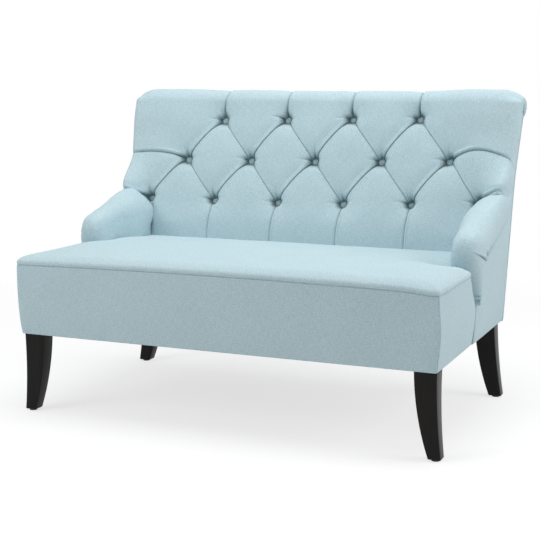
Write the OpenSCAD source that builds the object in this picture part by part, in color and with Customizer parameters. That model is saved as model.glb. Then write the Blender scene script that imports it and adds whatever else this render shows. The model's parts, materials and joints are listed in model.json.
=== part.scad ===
// Two-seat settee with a deep-buttoned raked back, low scooped arms and sabre legs.
// It faces -Y and stands on Z = 0, with its origin under the middle of its outline.
// Inside the file Y is counted from the front face, and place() moves the whole to the origin.

/* [Seat] */
// Width of the seat box at its underside
seat_w = 1230; // [1130:10:1330]
// Height of the legs with their glides, floor to seat box
leg_h = 231; // [180:1:280]
// Height of the seat box, underside to the front seam
box_h = 199; // [190:1:210]
// Depth of the seat, front face to the back pad
seat_d = 651; // [630:1:680]
// Depth of the wide part of the seat, in front of the arms
wide_d = 369; // [350:1:385]
// Rise of the seat's crown over its seam
seat_crown = 15; // [6:1:20]
// Swell of the padded borders round the seat
border_swell = 6; // [2:1:8]
// Thickness of the front border with its padding
border_t = 14; // [11:1:18]

/* [Back] */
// Height of the lowest row of buttons over the front seam
row_rise = 144; // [138:1:152]
// Distance between the button rows, along the back
row_pitch = 131; // [122:1:138]
// Distance between the buttons of a row
button_pitch = 220; // [212:1:221]
// Lean of the back from upright, in degrees
rake = 18; // [15:0.5:20]
// Height of the pad's crown over its button plane
pad_crown = 40; // [34:1:44]
// Length of the pad from the top buttons to the rolled top
top_run = 50; // [46:1:58]
// Radius of the rolled top
roll_r = 50; // [47:1:54]
// Lean of the lower part of the rear face, in degrees
rear_lean = 3; // [1:0.5:5]

/* [Sides] */
// Lean of the sides outwards, in degrees
side_flare = 2.4; // [1:0.2:3]
// Thickness of the arms
arm_w = 79; // [76:1:84]
// Radius of the arms' rounded nose
nose_r = 50; // [48:1:54]
// Height of the middle of the nose over the front seam
nose_rise = 38; // [32:1:44]
// Height of the arms' end over the front seam
arm_rise = 174; // [168:1:176]
// Dip of the arms' top line under a straight line
arm_dip = 9; // [4:1:14]

/* [Frame] */
// Height of the seat rails
rail_h = 114; // [100:1:118]
// Thickness of the front and rear rails
rail_t = 25; // [18:1:30]
// Thickness of the plywood side frames
ply_t = 22; // [18:1:24]
// Thickness of the padded covers on the sides
skin_t = 8; // [6:1:9]
// Thickness of the rear cover
rear_t = 4; // [3:0.5:6]
// Thickness of the corner plates that carry the legs
plate_t = 18; // [15:1:21]
// Length of a corner plate's sides
plate_l = 120; // [110:1:140]
// Width of the stiles and stretchers
stile_w = 44; // [30:1:52]
// Diameter of the dowels
dowel_d = 10; // [6:1:12]
// Length of the dowels
dowel_l = 36; // [30:1:44]
// Diameter of the corner plates' screws
screw_d = 4; // [3:0.5:5]

/* [Seat springs] */
// Number of zigzag springs
spring_n = 8; // [6:1:8]
// Distance between the springs
spring_gap = 132; // [110:1:138]
// Wire diameter of the springs
wire_d = 4; // [3:0.5:5]
// Number of cross bars in a spring
spring_bars = 15; // [11:2:17]

/* [Buttons] */
// Diameter of a covered button
button_d = 24; // [20:1:26]
// Rise of a button's dome
button_dome = 6; // [4:1:7]
// Width of a webbing strap
strap_w = 50; // [40:1:56]
// Diameter of the tufting twine
twine_d = 1.8; // [1.2:0.2:2.4]

/* [Legs] */
// Width of a leg at its top
leg_top_w = 60; // [54:1:64]
// Thickness of a leg at its top, front to back
leg_top_t = 44; // [40:1:48]
// Thickness of a leg at its foot, front to back
leg_foot_t = 30; // [26:1:36]
// Width of a front leg's foot
front_foot_w = 34; // [30:1:40]
// Width of a rear leg's foot
rear_foot_w = 38; // [32:1:44]
// Diameter of the leg bolts
bolt_d = 8; // [6:1:10]
// Diameter of the foot glides
glide_d = 22; // [18:1:24]
// Height of the foot glides
glide_h = 4; // [3:0.5:6]

/* [Hidden] */

// Colours
aqua = "#A9C9D1";
birch = "#D8B98A";
beech = "#C99F6B";
steel = "#8E949A";
espresso = "#1B1715";
cream_foam = "#EFE3B8";
grey_felt = "#8F8C86";
jute = "#B9945F";
black_cloth = "#26262A";

// Clearances: between pieces, over soft pieces, round a fastener
fit = 0.3;
soft_gap = 0.5;
hole_gap = 0.15;
round_fn = 48;

// Heights in the seat box
dust_t = 1.2;
cover_t = 4;
felt_t = 3;
box_z = leg_h;
frame_z = box_z + dust_t;
plate_z = frame_z + plate_t;
rail_z = frame_z + rail_h;
felt_z = rail_z + wire_d + fit;
foam_z = felt_z + felt_t + fit;
seam_z = box_z + box_h;
front_rail_y = border_t + rail_t;
inner_inset = skin_t + ply_t;

// The back's own frame: n is counted backwards from the plane of the buttons,
// and t runs up the back from the lowest row
row_z = seam_z + row_rise;
crevice_w = 2;
row_y = seat_d + row_rise * tan(rake) + crevice_w + fit;
pit_floor = -2;
pad_rear = 4;
pad_foot_t = -row_rise / cos(rake) + 1;
top_t = 2 * row_pitch + top_run;
roll_in = roll_r - pad_crown;
lobe_r = 12;
neck_t = top_t - lobe_r;
back_felt_in = pad_rear + fit;
strap_t = 2.5;
strap_in = back_felt_in + felt_t;
beam_in = strap_in + strap_t;
rear_in = 35;
beam_rear = rear_in - rear_t - fit;
side_in = pad_rear + fit;
overall_d = row_y + top_t * sin(rake) + roll_in * cos(rake) + roll_r;

// A point [y, z] of the back's frame
function back_point(n, t) =
    [row_y + n * cos(rake) + t * sin(rake), row_z - n * sin(rake) + t * cos(rake)];
// Where the plane at depth n meets height z
function plane_y(n, z) = row_y + (z - row_z) * tan(rake) + n / cos(rake);
// Half width of the settee over the outer faces at height z
function side_x(z) = seat_w / 2 + (z - box_z) * tan(side_flare);
function lerp(a, b, u) = a + (b - a) * u;
function smooth(u) = u * u * (3 - 2 * u);
function reversed(list) = [for (i = [len(list) - 1:-1:0]) list[i]];
// Points of an arc from p to q that bows by sag to the left of the way from p to q
function arc(p, q, sag, steps) =
    let (half = norm(q - p) / 2,
         r = (half * half + sag * sag) / (2 * abs(sag)),
         way = (q - p) / (2 * half),
         bow = [-way[1], way[0]] * sign(sag),
         mid = (p + q) / 2 - bow * (r - abs(sag)),
         reach = asin(half / r))
    [for (i = [0:steps]) let (a = lerp(-reach, reach, i / steps))
        mid + r * (way * sin(a) + bow * cos(a))];
// Triangles of a loft through rings of equal length, closed by a fan at either end
function loft_faces(rings, ring_n, hub) =
    concat(
        [for (i = [0:rings - 2]) for (j = [0:ring_n - 1]) for (half = [0, 1])
            let (a = i * ring_n + j, b = i * ring_n + (j + 1) % ring_n,
                 c = a + ring_n, d = b + ring_n,
                 lean = (i + j) % 2 == 1)
            half == 0 ? (lean ? [a, b, d] : [a, b, c]) : (lean ? [a, d, c] : [b, d, c])],
        [for (j = [1:ring_n - 2]) [hub, (hub + j + 1) % ring_n, (hub + j) % ring_n]],
        [for (j = [1:ring_n - 2]) let (base = (rings - 1) * ring_n)
            [base + hub, base + (hub + j) % ring_n, base + (hub + j + 1) % ring_n]]);
// Triangles between an upper and a lower grid of rows by cols points each
function slab_faces(rows, cols) =
    let (low = rows * cols)
    concat(
        [for (j = [0:rows - 2]) for (i = [0:cols - 2]) for (half = [0, 1])
            let (a = j * cols + i, b = a + 1, c = a + cols, d = c + 1)
            half == 0 ? [a, c, d] : [a, d, b]],
        [for (j = [0:rows - 2]) for (i = [0:cols - 2]) for (half = [0, 1])
            let (a = low + j * cols + i, b = a + 1, c = a + cols, d = c + 1)
            half == 0 ? [a, d, c] : [a, b, d]],
        [for (i = [0:cols - 2]) for (half = [0, 1]) let (a = i, b = i + 1)
            half == 0 ? [a, b, b + low] : [a, b + low, a + low]],
        [for (i = [0:cols - 2]) for (half = [0, 1]) let (a = (rows - 1) * cols + i, b = a + 1)
            half == 0 ? [b, a, a + low] : [b, a + low, b + low]],
        [for (j = [0:rows - 2]) for (half = [0, 1]) let (a = j * cols, b = a + cols)
            half == 0 ? [b, a, a + low] : [b, a + low, b + low]],
        [for (j = [0:rows - 2]) for (half = [0, 1]) let (a = (j + 1) * cols - 1, b = a + cols)
            half == 0 ? [a, b, b + low] : [a, b + low, a + low]]);

module place() translate([0, -overall_d / 2, 0]) children();
// The frame of the back: X, then n, then t
module on_back() translate([0, row_y, row_z]) rotate([-rake, 0, 0]) children();
module mirrored(s) mirror([s < 0 ? 1 : 0, 0, 0]) children();
// The frame of one side: X = 0 is the outer face, and inwards is -X
module on_side(s)
    mirrored(s)
        translate([seat_w / 2, 0, box_z]) rotate([0, side_flare, 0]) translate([0, 0, -box_z])
            children();
// A board in the plane of a side, from inset a to inset b
module side_board(s, points, a, b)
    on_side(s) translate([-b, 0, 0]) rotate([90, 0, 90]) linear_extrude(b - a) polygon(points);
// Everything farther out than an inset from the outer faces
module beyond_sides(inset)
    for (s = [-1, 1])
        on_side(s) translate([-inset, -seat_d, -box_z]) cube([seat_w, 3 * seat_d, 3 * seat_d]);
// A board across the settee that ends against both sides
module cross_board(inset, y0, y1, z0, z1)
    difference() {
        translate([-seat_w, y0, z0]) cube([2 * seat_w, y1 - y0, z1 - z0]);
        beyond_sides(inset);
    }
// The same, square to the back
module back_board(inset, n0, n1, t0, t1)
    difference() {
        on_back() translate([-seat_w, n0, t0]) cube([2 * seat_w, n1 - n0, t1 - t0]);
        beyond_sides(inset);
    }

// The rear face from its foot to the neck under the roll, at a depth inside it
knee_rise = 91;
knee_run = 60;
knee_bow = 4;
function rear_profile(depth) =
    let (knee_z = row_z + knee_rise,
         knee = [plane_y(rear_in, knee_z) - depth, knee_z],
         low = knee - knee_run * [sin(rear_lean), cos(rear_lean)],
         high = knee + knee_run * [sin(rake), cos(rake)],
         foot = [knee[0] - (knee_z - box_z) * tan(rear_lean), box_z])
    concat([foot], arc(low, high, knee_bow, 4), [back_point(rear_in - depth * cos(rake), neck_t - fit)]);
rear_inner_y = rear_profile(rear_t)[0][0];
rear_rail_y = rear_inner_y - rail_t;

// Legs and what holds them
leg_y = 35;
rear_leg_set = 5;
rear_leg_y = rear_inner_y - leg_top_t / 2 - rear_leg_set;
front_leg_in = 7;
rear_leg_in = 16;
front_foot_out = 5;
rear_foot_out = 9;
function leg_centre_y(rear) = rear ? rear_leg_y : leg_y;
function leg_top_x(rear) = seat_w / 2 - (rear ? rear_leg_in : front_leg_in);
function foot_x(rear) = seat_w / 2 + (rear ? rear_foot_out : front_foot_out);
function foot_w(rear) = rear ? rear_foot_w : front_foot_w;
function bolt_x(rear) = leg_top_x(rear) - leg_top_w / 2;
bolt_in_leg = 46;
nut_flange_t = 1.6;
nut_flange_d = 20;
nut_barrel_t = 10;
nut_wall = 1.2;
pin_d = 3;
pin_l = 12;
corner_x = side_x(frame_z) - skin_t - fit;
screw_l = 42;
screw_head_t = 2.4;
screw_in = 85;

module corner(s, rear)
    mirrored(s)
        translate([corner_x, rear ? rear_inner_y - fit : border_t + fit, 0])
            mirror([1, 0, 0]) mirror([0, rear ? 1 : 0, 0]) children();
module each_corner() for (s = [-1, 1], rear = [false, true]) corner(s, rear) children();
plate_tip = 12;
module plate_shape(height, grow)
    linear_extrude(height)
        polygon([[-grow, -grow], [plate_l + 2 * grow, -grow], [plate_l + 2 * grow, plate_tip],
                 [plate_tip, plate_l + 2 * grow], [-grow, plate_l + 2 * grow]]);
module plate_notches()
    each_corner() translate([0, 0, frame_z - plate_t]) plate_shape(2 * plate_t + fit, 2 * fit);
// Places of a plate's two screws: into the cross rail and into the side frame
module at_screws()
    for (p = [[screw_in, rail_t / 2], [ply_t / 2, screw_in]])
        each_corner() translate([p[0], p[1], frame_z]) children();
module screw_holes() at_screws() cylinder(h = screw_l + 1, d = screw_d + 2 * hole_gap, $fn = round_fn);
module at_bolts()
    for (s = [-1, 1], rear = [false, true])
        mirrored(s) translate([bolt_x(rear), leg_centre_y(rear), 0]) children();

// Dowels between the cross rails and the side frames, as [y, z] places
dowel_in_ply = 14;
dowel_drop = 30;
dowel_step = 40;
low_dowel_up = 14;
low_dowel_t = pad_foot_t + low_dowel_up;
low_dowel_step = 22;
top_dowel_under = 13;
dowels = concat(
    [for (y = [border_t + rail_t / 2, rear_rail_y + rail_t / 2], k = [0, 1])
        [y, rail_z - dowel_drop - k * dowel_step]],
    [for (t = [low_dowel_t, low_dowel_t + low_dowel_step, neck_t - top_dowel_under])
        back_point((beam_in + beam_rear) / 2, t)]);
module dowel_set(d, extra)
    for (s = [-1, 1], p = dowels)
        mirrored(s) translate([side_x(p[1]) - inner_inset + dowel_in_ply + extra, p[0], p[1]])
            rotate([0, -90, 0]) cylinder(h = dowel_l + 2 * extra, d = d, $fn = round_fn);
module dowel_holes() dowel_set(dowel_d + 2 * hole_gap, 0.5);

module front_rail() place() color(beech)
    difference() {
        cross_board(inner_inset, border_t, front_rail_y, frame_z, rail_z);
        plate_notches();
        screw_holes();
        dowel_holes();
    }

module rear_rail() place() color(beech)
    difference() {
        cross_board(inner_inset, rear_rail_y, rear_inner_y, frame_z, rail_z);
        plate_notches();
        screw_holes();
        dowel_holes();
    }

stretcher_h = 50;
stretcher_x = 200;
module seat_stretchers() place() color(beech)
    for (s = [-1, 1])
        translate([s * stretcher_x - stile_w / 2, front_rail_y, plate_z])
            cube([stile_w, rear_rail_y - front_rail_y, stretcher_h]);

module corner_plates() place() color(birch)
    difference() {
        each_corner() translate([0, 0, frame_z]) plate_shape(plate_t, 0);
        at_bolts() translate([0, 0, frame_z - 1])
            cylinder(h = plate_t + 2, d = bolt_d + 2 * (nut_wall + hole_gap), $fn = round_fn);
        at_bolts() translate([0, 0, plate_z - nut_flange_t])
            cylinder(h = plate_t, d = nut_flange_d + 2 * hole_gap, $fn = round_fn);
        screw_holes();
        at_screws() translate([0, 0, -1])
            cylinder(h = screw_head_t + hole_gap + 1, d = 2 * screw_d + 2 * hole_gap, $fn = round_fn);
    }

module corner_screws() place() color(steel)
    at_screws() {
        cylinder(h = screw_l, d = screw_d, $fn = round_fn);
        cylinder(h = screw_head_t, d = 2 * screw_d, $fn = round_fn);
    }

module frame_dowels() place() color(birch) dowel_set(dowel_d, 0);

// The arm's top line from its foot in front, round the nose and back along the scoop
seam_depth = 20;
roll_depth = 44;
nose_over = 4;
arm_front_y = wide_d + fit;
arm_foot_z = rail_z + 2 * fit;
nose_from = seam_z + cover_t + 3;
nose_z = seam_z + nose_rise;
arm_end_z = seam_z + arm_rise;
arm_back_in = -pad_crown / 2 - 5;
arm_line = let (c = [arm_front_y - nose_over + nose_r, nose_z],
                tip = c + nose_r * [cos(104), sin(104)],
                end = [plane_y(arm_back_in, arm_end_z), arm_end_z],
                scoop = arc(tip, end, -arm_dip, 6))
    concat(
        [for (u = [0, 0.5, 1]) [arm_front_y, lerp(arm_foot_z, nose_from, u)]],
        [for (a = [180, 160, 140, 122]) c + nose_r * [cos(a), sin(a)]],
        scoop);
arm_last = len(arm_line) - 1;
// Inward direction at a point of the line; the last lies in the plane of the back
function arm_inward(i) =
    i == arm_last ? [-sin(rake), -cos(rake)] :
    let (way = i == 0 ? [0, 1] : arm_line[i + 1] - arm_line[i - 1])
    [way[1], -way[0]] / norm(way);
function arm_inset(depth) = [for (i = [0:arm_last]) arm_line[i] + depth * arm_inward(i)];
// The side seam runs out towards the arm's foot
function seam_share(i) = min(0.9, 0.2 + 0.35 * i);
function arm_seam(extra) =
    [for (i = [0:arm_last]) arm_line[i] + (seam_depth * seam_share(i) + extra) * arm_inward(i)];
// A side's outline from a front line, over the shoulder under the pad's edge and down the rear
shoulder_t = 28;
function side_outline(front, rear_depth) =
    concat(front,
        [back_point(arm_back_in + fit, shoulder_t - fit), back_point(side_in, shoulder_t - fit),
         back_point(side_in, neck_t - fit)],
        reversed(rear_profile(rear_depth)));

module side_frame(s) place() color(birch)
    difference() {
        side_board(s,
            concat([[border_t + fit, box_z], [border_t + fit, rail_z],
                    [arm_inset(seam_depth + fit)[0][0], rail_z]],
                side_outline(arm_inset(seam_depth + fit), rear_t + fit)),
            skin_t, inner_inset);
        translate([-seat_w, 0, box_z - plate_t]) cube([2 * seat_w, 2 * seat_d, plate_t + dust_t]);
        plate_notches();
        screw_holes();
        dowel_holes();
    }
module left_side_frame() side_frame(-1);
module right_side_frame() side_frame(1);

// Frame of the back
lower_rail_h = 50;
top_rail_under = 15;
top_rail_h = 53;
top_rail_t = 2 * row_pitch + top_rail_under;
module back_top_rail() place() color(beech)
    difference() {
        back_board(inner_inset, beam_in, beam_rear, top_rail_t, top_rail_t + top_rail_h);
        dowel_holes();
    }

module back_lower_rail() place() color(beech)
    difference() {
        back_board(inner_inset, beam_in, beam_rear, pad_foot_t, pad_foot_t + lower_rail_h);
        dowel_holes();
    }

stile_x = 165;
module back_stiles() place() color(beech)
    for (s = [-1, 1])
        on_back() translate([s * stile_x - stile_w / 2, beam_in, pad_foot_t + lower_rail_h])
            cube([stile_w, beam_rear - beam_in, top_rail_t - pad_foot_t - lower_rail_h]);

// Zigzag springs from the front rail to the rear rail
spring_y0 = border_t + rail_t / 2;
spring_y1 = rear_rail_y + rail_t / 2;
spring_pitch = (spring_y1 - spring_y0) / (spring_bars - 1);
spring_half = 14;
function spring_x(i) = (i - (spring_n - 1) / 2) * spring_gap;
// A half loop that joins two bars, bulging towards s
module half_loop(s)
    difference() {
        circle(r = (spring_pitch + wire_d) / 2, $fn = round_fn);
        circle(r = (spring_pitch - wire_d) / 2, $fn = round_fn);
        translate([s > 0 ? -2 * spring_pitch : 0, -spring_pitch]) square(2 * spring_pitch);
    }
module zigzag()
    linear_extrude(wire_d) union() {
        for (i = [0:spring_bars - 1])
            translate([-spring_half, i * spring_pitch - wire_d / 2]) square([2 * spring_half, wire_d]);
        for (i = [0:spring_bars - 2]) let (s = i % 2 == 0 ? 1 : -1)
            translate([s * spring_half, (i + 0.5) * spring_pitch]) half_loop(s);
    }
module seat_springs() place() color(steel)
    for (i = [0:spring_n - 1])
        translate([spring_x(i), spring_y0, rail_z]) zigzag();

clip_w = 18;
clip_l = 14;
clip_wall = 1.6;
module spring_clips() place() color(steel)
    for (i = [0:spring_n - 1], y = [spring_y0, spring_y1])
        translate([spring_x(i), y, rail_z])
            difference() {
                translate([-clip_w / 2, -clip_l / 2, 0]) cube([clip_w, clip_l, wire_d + fit + clip_wall]);
                translate([-clip_w, -wire_d / 2 - fit, -1])
                    cube([2 * clip_w, wire_d + 2 * fit, wire_d + fit + 1]);
            }

tie_d = 2.4;
module spring_tie_wires() place() color(steel)
    for (share = [1 / 3, 2 / 3])
        translate([0, lerp(spring_y0, spring_y1, share), rail_z - tie_d / 2 - hole_gap])
            rotate([0, 90, 0])
                cylinder(h = (spring_n - 1) * spring_gap + 2 * spring_half, d = tie_d, center = true,
                         $fn = 24);

felt_short = 10;
module spring_felt() place() color(grey_felt)
    let (half = (spring_n - 1) / 2 * spring_gap + spring_half + spring_pitch / 2)
        translate([-half, front_rail_y, felt_z])
            cube([2 * half, seat_d - front_rail_y - felt_short, felt_t]);

// The seat: wide in front of the arms, narrow between them
seat_step = 6;
seat_row_gap = 60;
seat_rows = concat(
    [border_swell, border_t + fit, 40, 90, 160, 230, 300, wide_d - seat_step, wide_d + fit],
    [for (k = [4:-1:1]) seat_d - k * seat_row_gap], [seat_d - seat_row_gap / 4, seat_d]);
seat_cells = 10;
// Depth in which the crown rises, and its fall to the sides between the arms
crown_run = 60;
inner_fall = 0.4;
function seat_half(y, z) = y < wide_d ? side_x(z) : side_x(z) - arm_w - soft_gap;
function seat_top_z(f, y) =
    let (rise = 1 - exp(-(y - border_swell) / crown_run),
         edge = y < wide_d ? 1 : inner_fall)
    seam_z + cover_t + seat_crown * rise * (1 - edge * pow(abs(f), 6));
function seat_share(i) = sin(90 * (i - seat_cells) / seat_cells);
seat_cols = 2 * seat_cells + 1;

module seat_foam() place() color(cream_foam)
    let (rows = [for (j = [1:len(seat_rows) - 1]) seat_rows[j] - (j == len(seat_rows) - 1 ? fit : 0)],
         inset = skin_t + 2 * fit)
        polyhedron(
            points = [for (level = [1, 0], y = rows, i = [0:seat_cols - 1])
                let (z = level == 1 ? seam_z : foam_z,
                     half = seat_half(y, z) - (y < wide_d ? inset : 0),
                     x = seat_share(i) * half,
                     f = x / seat_half(y, seam_z))
                [x, y, level == 1 ? seat_top_z(f, y) - cover_t - soft_gap : foam_z]],
            faces = slab_faces(len(rows), seat_cols));

module seat_top_cover() place() color(aqua)
    polyhedron(
        points = [for (level = [1, 0], y = seat_rows, i = [0:seat_cols - 1])
            [seat_share(i) * seat_half(y, seam_z), y,
             seat_top_z(seat_share(i), y) - (level == 1 ? 0 : cover_t)]],
        faces = slab_faces(len(seat_rows), seat_cols));

border_top_gap = 0.6;
module seat_front_border() place() color(aqua)
    difference() {
        translate([-seat_w, 0, 0]) rotate([90, 0, 90]) linear_extrude(2 * seat_w)
            polygon(concat(
                arc([border_swell, box_z], [border_swell, seam_z - fit], border_swell, 8),
                [[border_t, seam_z - fit], [border_t, box_z]]));
        beyond_sides(0);
    }

module seat_border(s) place() color(aqua)
    on_side(s) translate([0, wide_d - fit, 0]) rotate([90, 0, 0])
        linear_extrude(wide_d - border_t - 2 * fit)
            polygon(concat(
                arc([0, box_z], [0, seam_z - border_top_gap], -border_swell, 8),
                [[-skin_t, seam_z - border_top_gap], [-skin_t, box_z + fit]]));
module left_seat_border() seat_border(-1);
module right_seat_border() seat_border(1);

// Deep buttoning: columns of each row in button pitches, for one half of the back
button_clear = 62;
last_column = floor((seat_w / 2 - button_clear) / button_pitch - 0.5);
function row_columns(row) =
    row == 1 ? [0:last_column] : [0.5:last_column + (row == 0 ? 0.5 : -0.5)];
button_places = [for (row = [0:2], c = row_columns(row), s = c > 0 ? [-1, 1] : [1])
    [s * c * button_pitch, row * row_pitch]];
// Folds from button to button and out to the edges: ends, depth at each end, rise between
crest_t = top_t + roll_r * PI / 2;
edge_x = side_x(row_z);
edge_fold_rise = 8;
folds = concat(
    [for (row = [0, 1], c = row_columns(row), d = row_columns(row + 1)) if (abs(c - d) == 0.5)
        [[c * button_pitch, row * row_pitch], [d * button_pitch, (row + 1) * row_pitch], 1, 1, 0.5]],
    [for (c = row_columns(0))
        [[c * button_pitch, 0], [c * button_pitch, pad_foot_t], 1, 0.5, 0.25]],
    [for (c = row_columns(2))
        [[c * button_pitch, 2 * row_pitch], [c * button_pitch, crest_t], 1, 0.15, 0.2]],
    [[[last_column * button_pitch, row_pitch], [edge_x, row_pitch + edge_fold_rise], 1, 0.25, 0.2]]);
pit_reach = 24;
fold_reach = 13;
function pit_depth(p) = exp(-pow(min([for (b = button_places) norm(p - b)]) / pit_reach, 1.5));
function fold_depth(p, fold) =
    let (way = fold[1] - fold[0],
         u = max(0, min(1, (p - fold[0]) * way / (way * way))),
         away = norm(p - fold[0] - u * way))
    (lerp(fold[2], fold[3], u) - fold[4] * sin(180 * u)) * exp(-pow(away / fold_reach, 1.3));
function tuft_depth(x, t) =
    let (p = [abs(x), t])
    max(pit_depth(p), max([for (fold = folds) fold_depth(p, fold)]));

// The pad's outline in the plane of X: rows up the front, then angles round the roll
pad_rows = [pad_foot_t, for (k = [-4:8]) k * row_pitch / 4, 2 * row_pitch + top_run / 2, top_t];
roll_angles = [144, 90 + rake, 63, rake, -10];
edge_rim = 8;
edge_round = 26;
col_w = button_pitch / 8;
col_n = floor((seat_w / 2 - edge_rim - 2) / col_w);
// Share of the crown near the foot, where the pad dives behind the seat
crevice_rise = 85;
crevice_left = 0.05;
function crevice_share(t) = let (u = min(1, (t - pad_foot_t) / crevice_rise))
    lerp(crevice_left, 1, smooth(u));
// Share of the crown that is left near the outer edges
edge_left = 0.35;
function edge_share(x, t) =
    let (d = min(edge_round, side_x(row_z + t * cos(rake)) - abs(x)) / edge_round)
    lerp(edge_left, 1, sqrt(max(0, 1 - (1 - d) * (1 - d))));
function pad_front_n(x, t) =
    let (crown = pad_crown * crevice_share(t) * edge_share(x, t))
    pit_floor - (crown + pit_floor) * (1 - tuft_depth(x, t));
// X of column i at t
function pad_x(i, t) =
    let (k = abs(i), edge = side_x(row_z + t * cos(rake)))
    sign(i) * (k <= col_n ? k * col_w : edge - (k == col_n + 1 ? edge_rim : 0));
function pad_ring(i) =
    concat(
        [for (t = pad_rows) let (x = pad_x(i, t)) [x, pad_front_n(x, t), t]],
        [for (a = roll_angles)
            let (s = top_t + roll_r * (180 - a) * PI / 180,
                 x = pad_x(i, top_t + roll_r * sin(a)),
                 r = roll_r * (0.8 + 0.2 * edge_share(x, top_t)) - pad_crown * tuft_depth(x, s))
            [x, roll_in + r * cos(a), top_t + r * sin(a)]],
        [[pad_x(i, neck_t), rear_in + lobe_r, neck_t], [pad_x(i, neck_t), pad_rear, neck_t],
         [pad_x(i, pad_foot_t), pad_rear, pad_foot_t]]);
ring_n = len(pad_rows) + len(roll_angles) + 3;
shank_d = 4;

// The room of the arms under the pad's shoulders, back to depth n
module under_shoulders(inset, n)
    intersection() {
        beyond_sides(inset);
        on_back() translate([-seat_w, -seat_d, 2 * pad_foot_t])
            cube([2 * seat_w, seat_d + n, shoulder_t - 2 * pad_foot_t]);
    }
module at_buttons()
    for (b = button_places) on_back() translate([b[0], 0, b[1]]) rotate([90, 0, 0]) children();
module tufted_back_pad() place() color(aqua)
    difference() {
        on_back() polyhedron(
            points = [for (i = [-col_n - 2:col_n + 2]) each pad_ring(i)],
            faces = loft_faces(2 * col_n + 5, ring_n, ring_n - 2));
        at_buttons() cylinder(h = 2 * pad_crown, d = button_d + 2 * soft_gap, $fn = round_fn);
        at_buttons() translate([0, 0, -2 * pad_rear])
            cylinder(h = 3 * pad_rear, d = shank_d + 2 * hole_gap, $fn = round_fn);
        back_board(inner_inset - fit, beam_in - fit, beam_rear + fit,
                   top_rail_t, top_rail_t + top_rail_h + fit);
        under_shoulders(inner_inset + fit, seat_d);
        under_shoulders(arm_w + fit, arm_back_in + fit);
    }

button_rim = 2;
module back_buttons() place() color(aqua)
    at_buttons() {
        let (r = button_d / 2, ball_r = (r * r + button_dome * button_dome) / (2 * button_dome))
            intersection() {
                translate([0, 0, button_rim + button_dome - ball_r])
                    sphere(r = ball_r, $fn = 24);
                translate([0, 0, button_rim])
                    cylinder(h = 2 * button_dome, r = r, $fn = round_fn);
            }
        cylinder(h = button_rim, d = button_d, $fn = round_fn);
        translate([0, 0, -pad_rear]) cylinder(h = pad_rear + 1, d = shank_d, $fn = round_fn);
    }

washer_d = 18;
washer_t = 2;
knot_d = 5;
module tufting_twine() place() color(jute)
    at_buttons() {
        translate([0, 0, -beam_in - washer_t - 1])
            cylinder(h = beam_in + washer_t + 1 - pad_rear, d = twine_d, $fn = 24);
        translate([0, 0, -beam_in - washer_t - knot_d]) cylinder(h = knot_d, d = knot_d, $fn = 24);
    }
module twine_holes()
    at_buttons() translate([0, 0, -2 * beam_in])
        cylinder(h = 4 * beam_in, d = twine_d + 4 * hole_gap, $fn = 24);

module tufting_washers() place() color(steel)
    difference() {
        at_buttons() translate([0, 0, -beam_in - washer_t])
            cylinder(h = washer_t, d = washer_d, $fn = round_fn);
        twine_holes();
    }

module back_webbing() place() color(jute)
    difference() {
        for (i = [-2 * last_column - 1:2 * last_column + 1])
            on_back() translate([i * button_pitch / 2 - strap_w / 2, strap_in, pad_foot_t])
                cube([strap_w, strap_t, neck_t - fit - pad_foot_t]);
        twine_holes();
    }

module back_felt() place() color(grey_felt)
    difference() {
        back_board(inner_inset + fit, back_felt_in, back_felt_in + felt_t, pad_foot_t, neck_t - fit);
        twine_holes();
    }

// Arms
module arm_pad(s) place() color(aqua)
    side_board(s,
        concat(arm_inset(roll_depth + fit),
            [[plane_y(arm_back_in, rail_z + fit), rail_z + fit],
             [arm_front_y + roll_depth + fit, rail_z + fit]]),
        inner_inset + fit, arm_w);
module left_arm_pad() arm_pad(-1);
module right_arm_pad() arm_pad(1);

outer_round = 24;
arm_flat = 16;
inner_round = arm_w - outer_round - arm_flat;
// A ring of the arm's roll as [inset, depth]: outer seam, over the top, down the inside
function roll_section(i) =
    let (seam = seam_depth * seam_share(i))
    concat(
        [for (a = [0, 30, 60, 90]) [outer_round * (1 - cos(a)), seam * (1 - sin(a))]],
        [for (a = [90, 67, 45, 22, 0])
            [arm_w - inner_round * (1 - cos(a)), roll_depth * (1 - sin(a))]],
        [[inner_inset, roll_depth], [inner_inset, seam_depth], [skin_t, seam_depth], [skin_t, seam]]);
module arm_roll(s) place() color(aqua)
    on_side(s) let (n = len(roll_section(0)))
        polyhedron(
            points = [for (i = [0:arm_last], p = roll_section(i))
                let (q = arm_line[i] + p[1] * arm_inward(i)) [-p[0], q[0], q[1]]],
            faces = loft_faces(arm_last + 1, n, n - 3));
module left_arm_roll() arm_roll(-1);
module right_arm_roll() arm_roll(1);

// Covers
module outer_cover(s) place() color(aqua)
    side_board(s,
        concat([[wide_d + fit, box_z], [wide_d + fit, arm_foot_z]],
            side_outline(arm_seam(fit), rear_t + fit)),
        0, skin_t - fit);
module left_outer_cover() outer_cover(-1);
module right_outer_cover() outer_cover(1);

module outside_back_cover() place() color(aqua)
    difference() {
        translate([-seat_w, 0, 0]) rotate([90, 0, 90]) linear_extrude(2 * seat_w)
            polygon(concat(rear_profile(0), reversed(rear_profile(rear_t))));
        beyond_sides(0);
    }

module dust_cover() place() color(black_cloth)
    difference() {
        translate([-corner_x, border_t + fit, box_z])
            cube([2 * corner_x, rear_inner_y - border_t - 2 * fit, dust_t]);
        at_bolts() cylinder(h = 2 * leg_h, d = bolt_d + 2, $fn = round_fn);
    }

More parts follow.
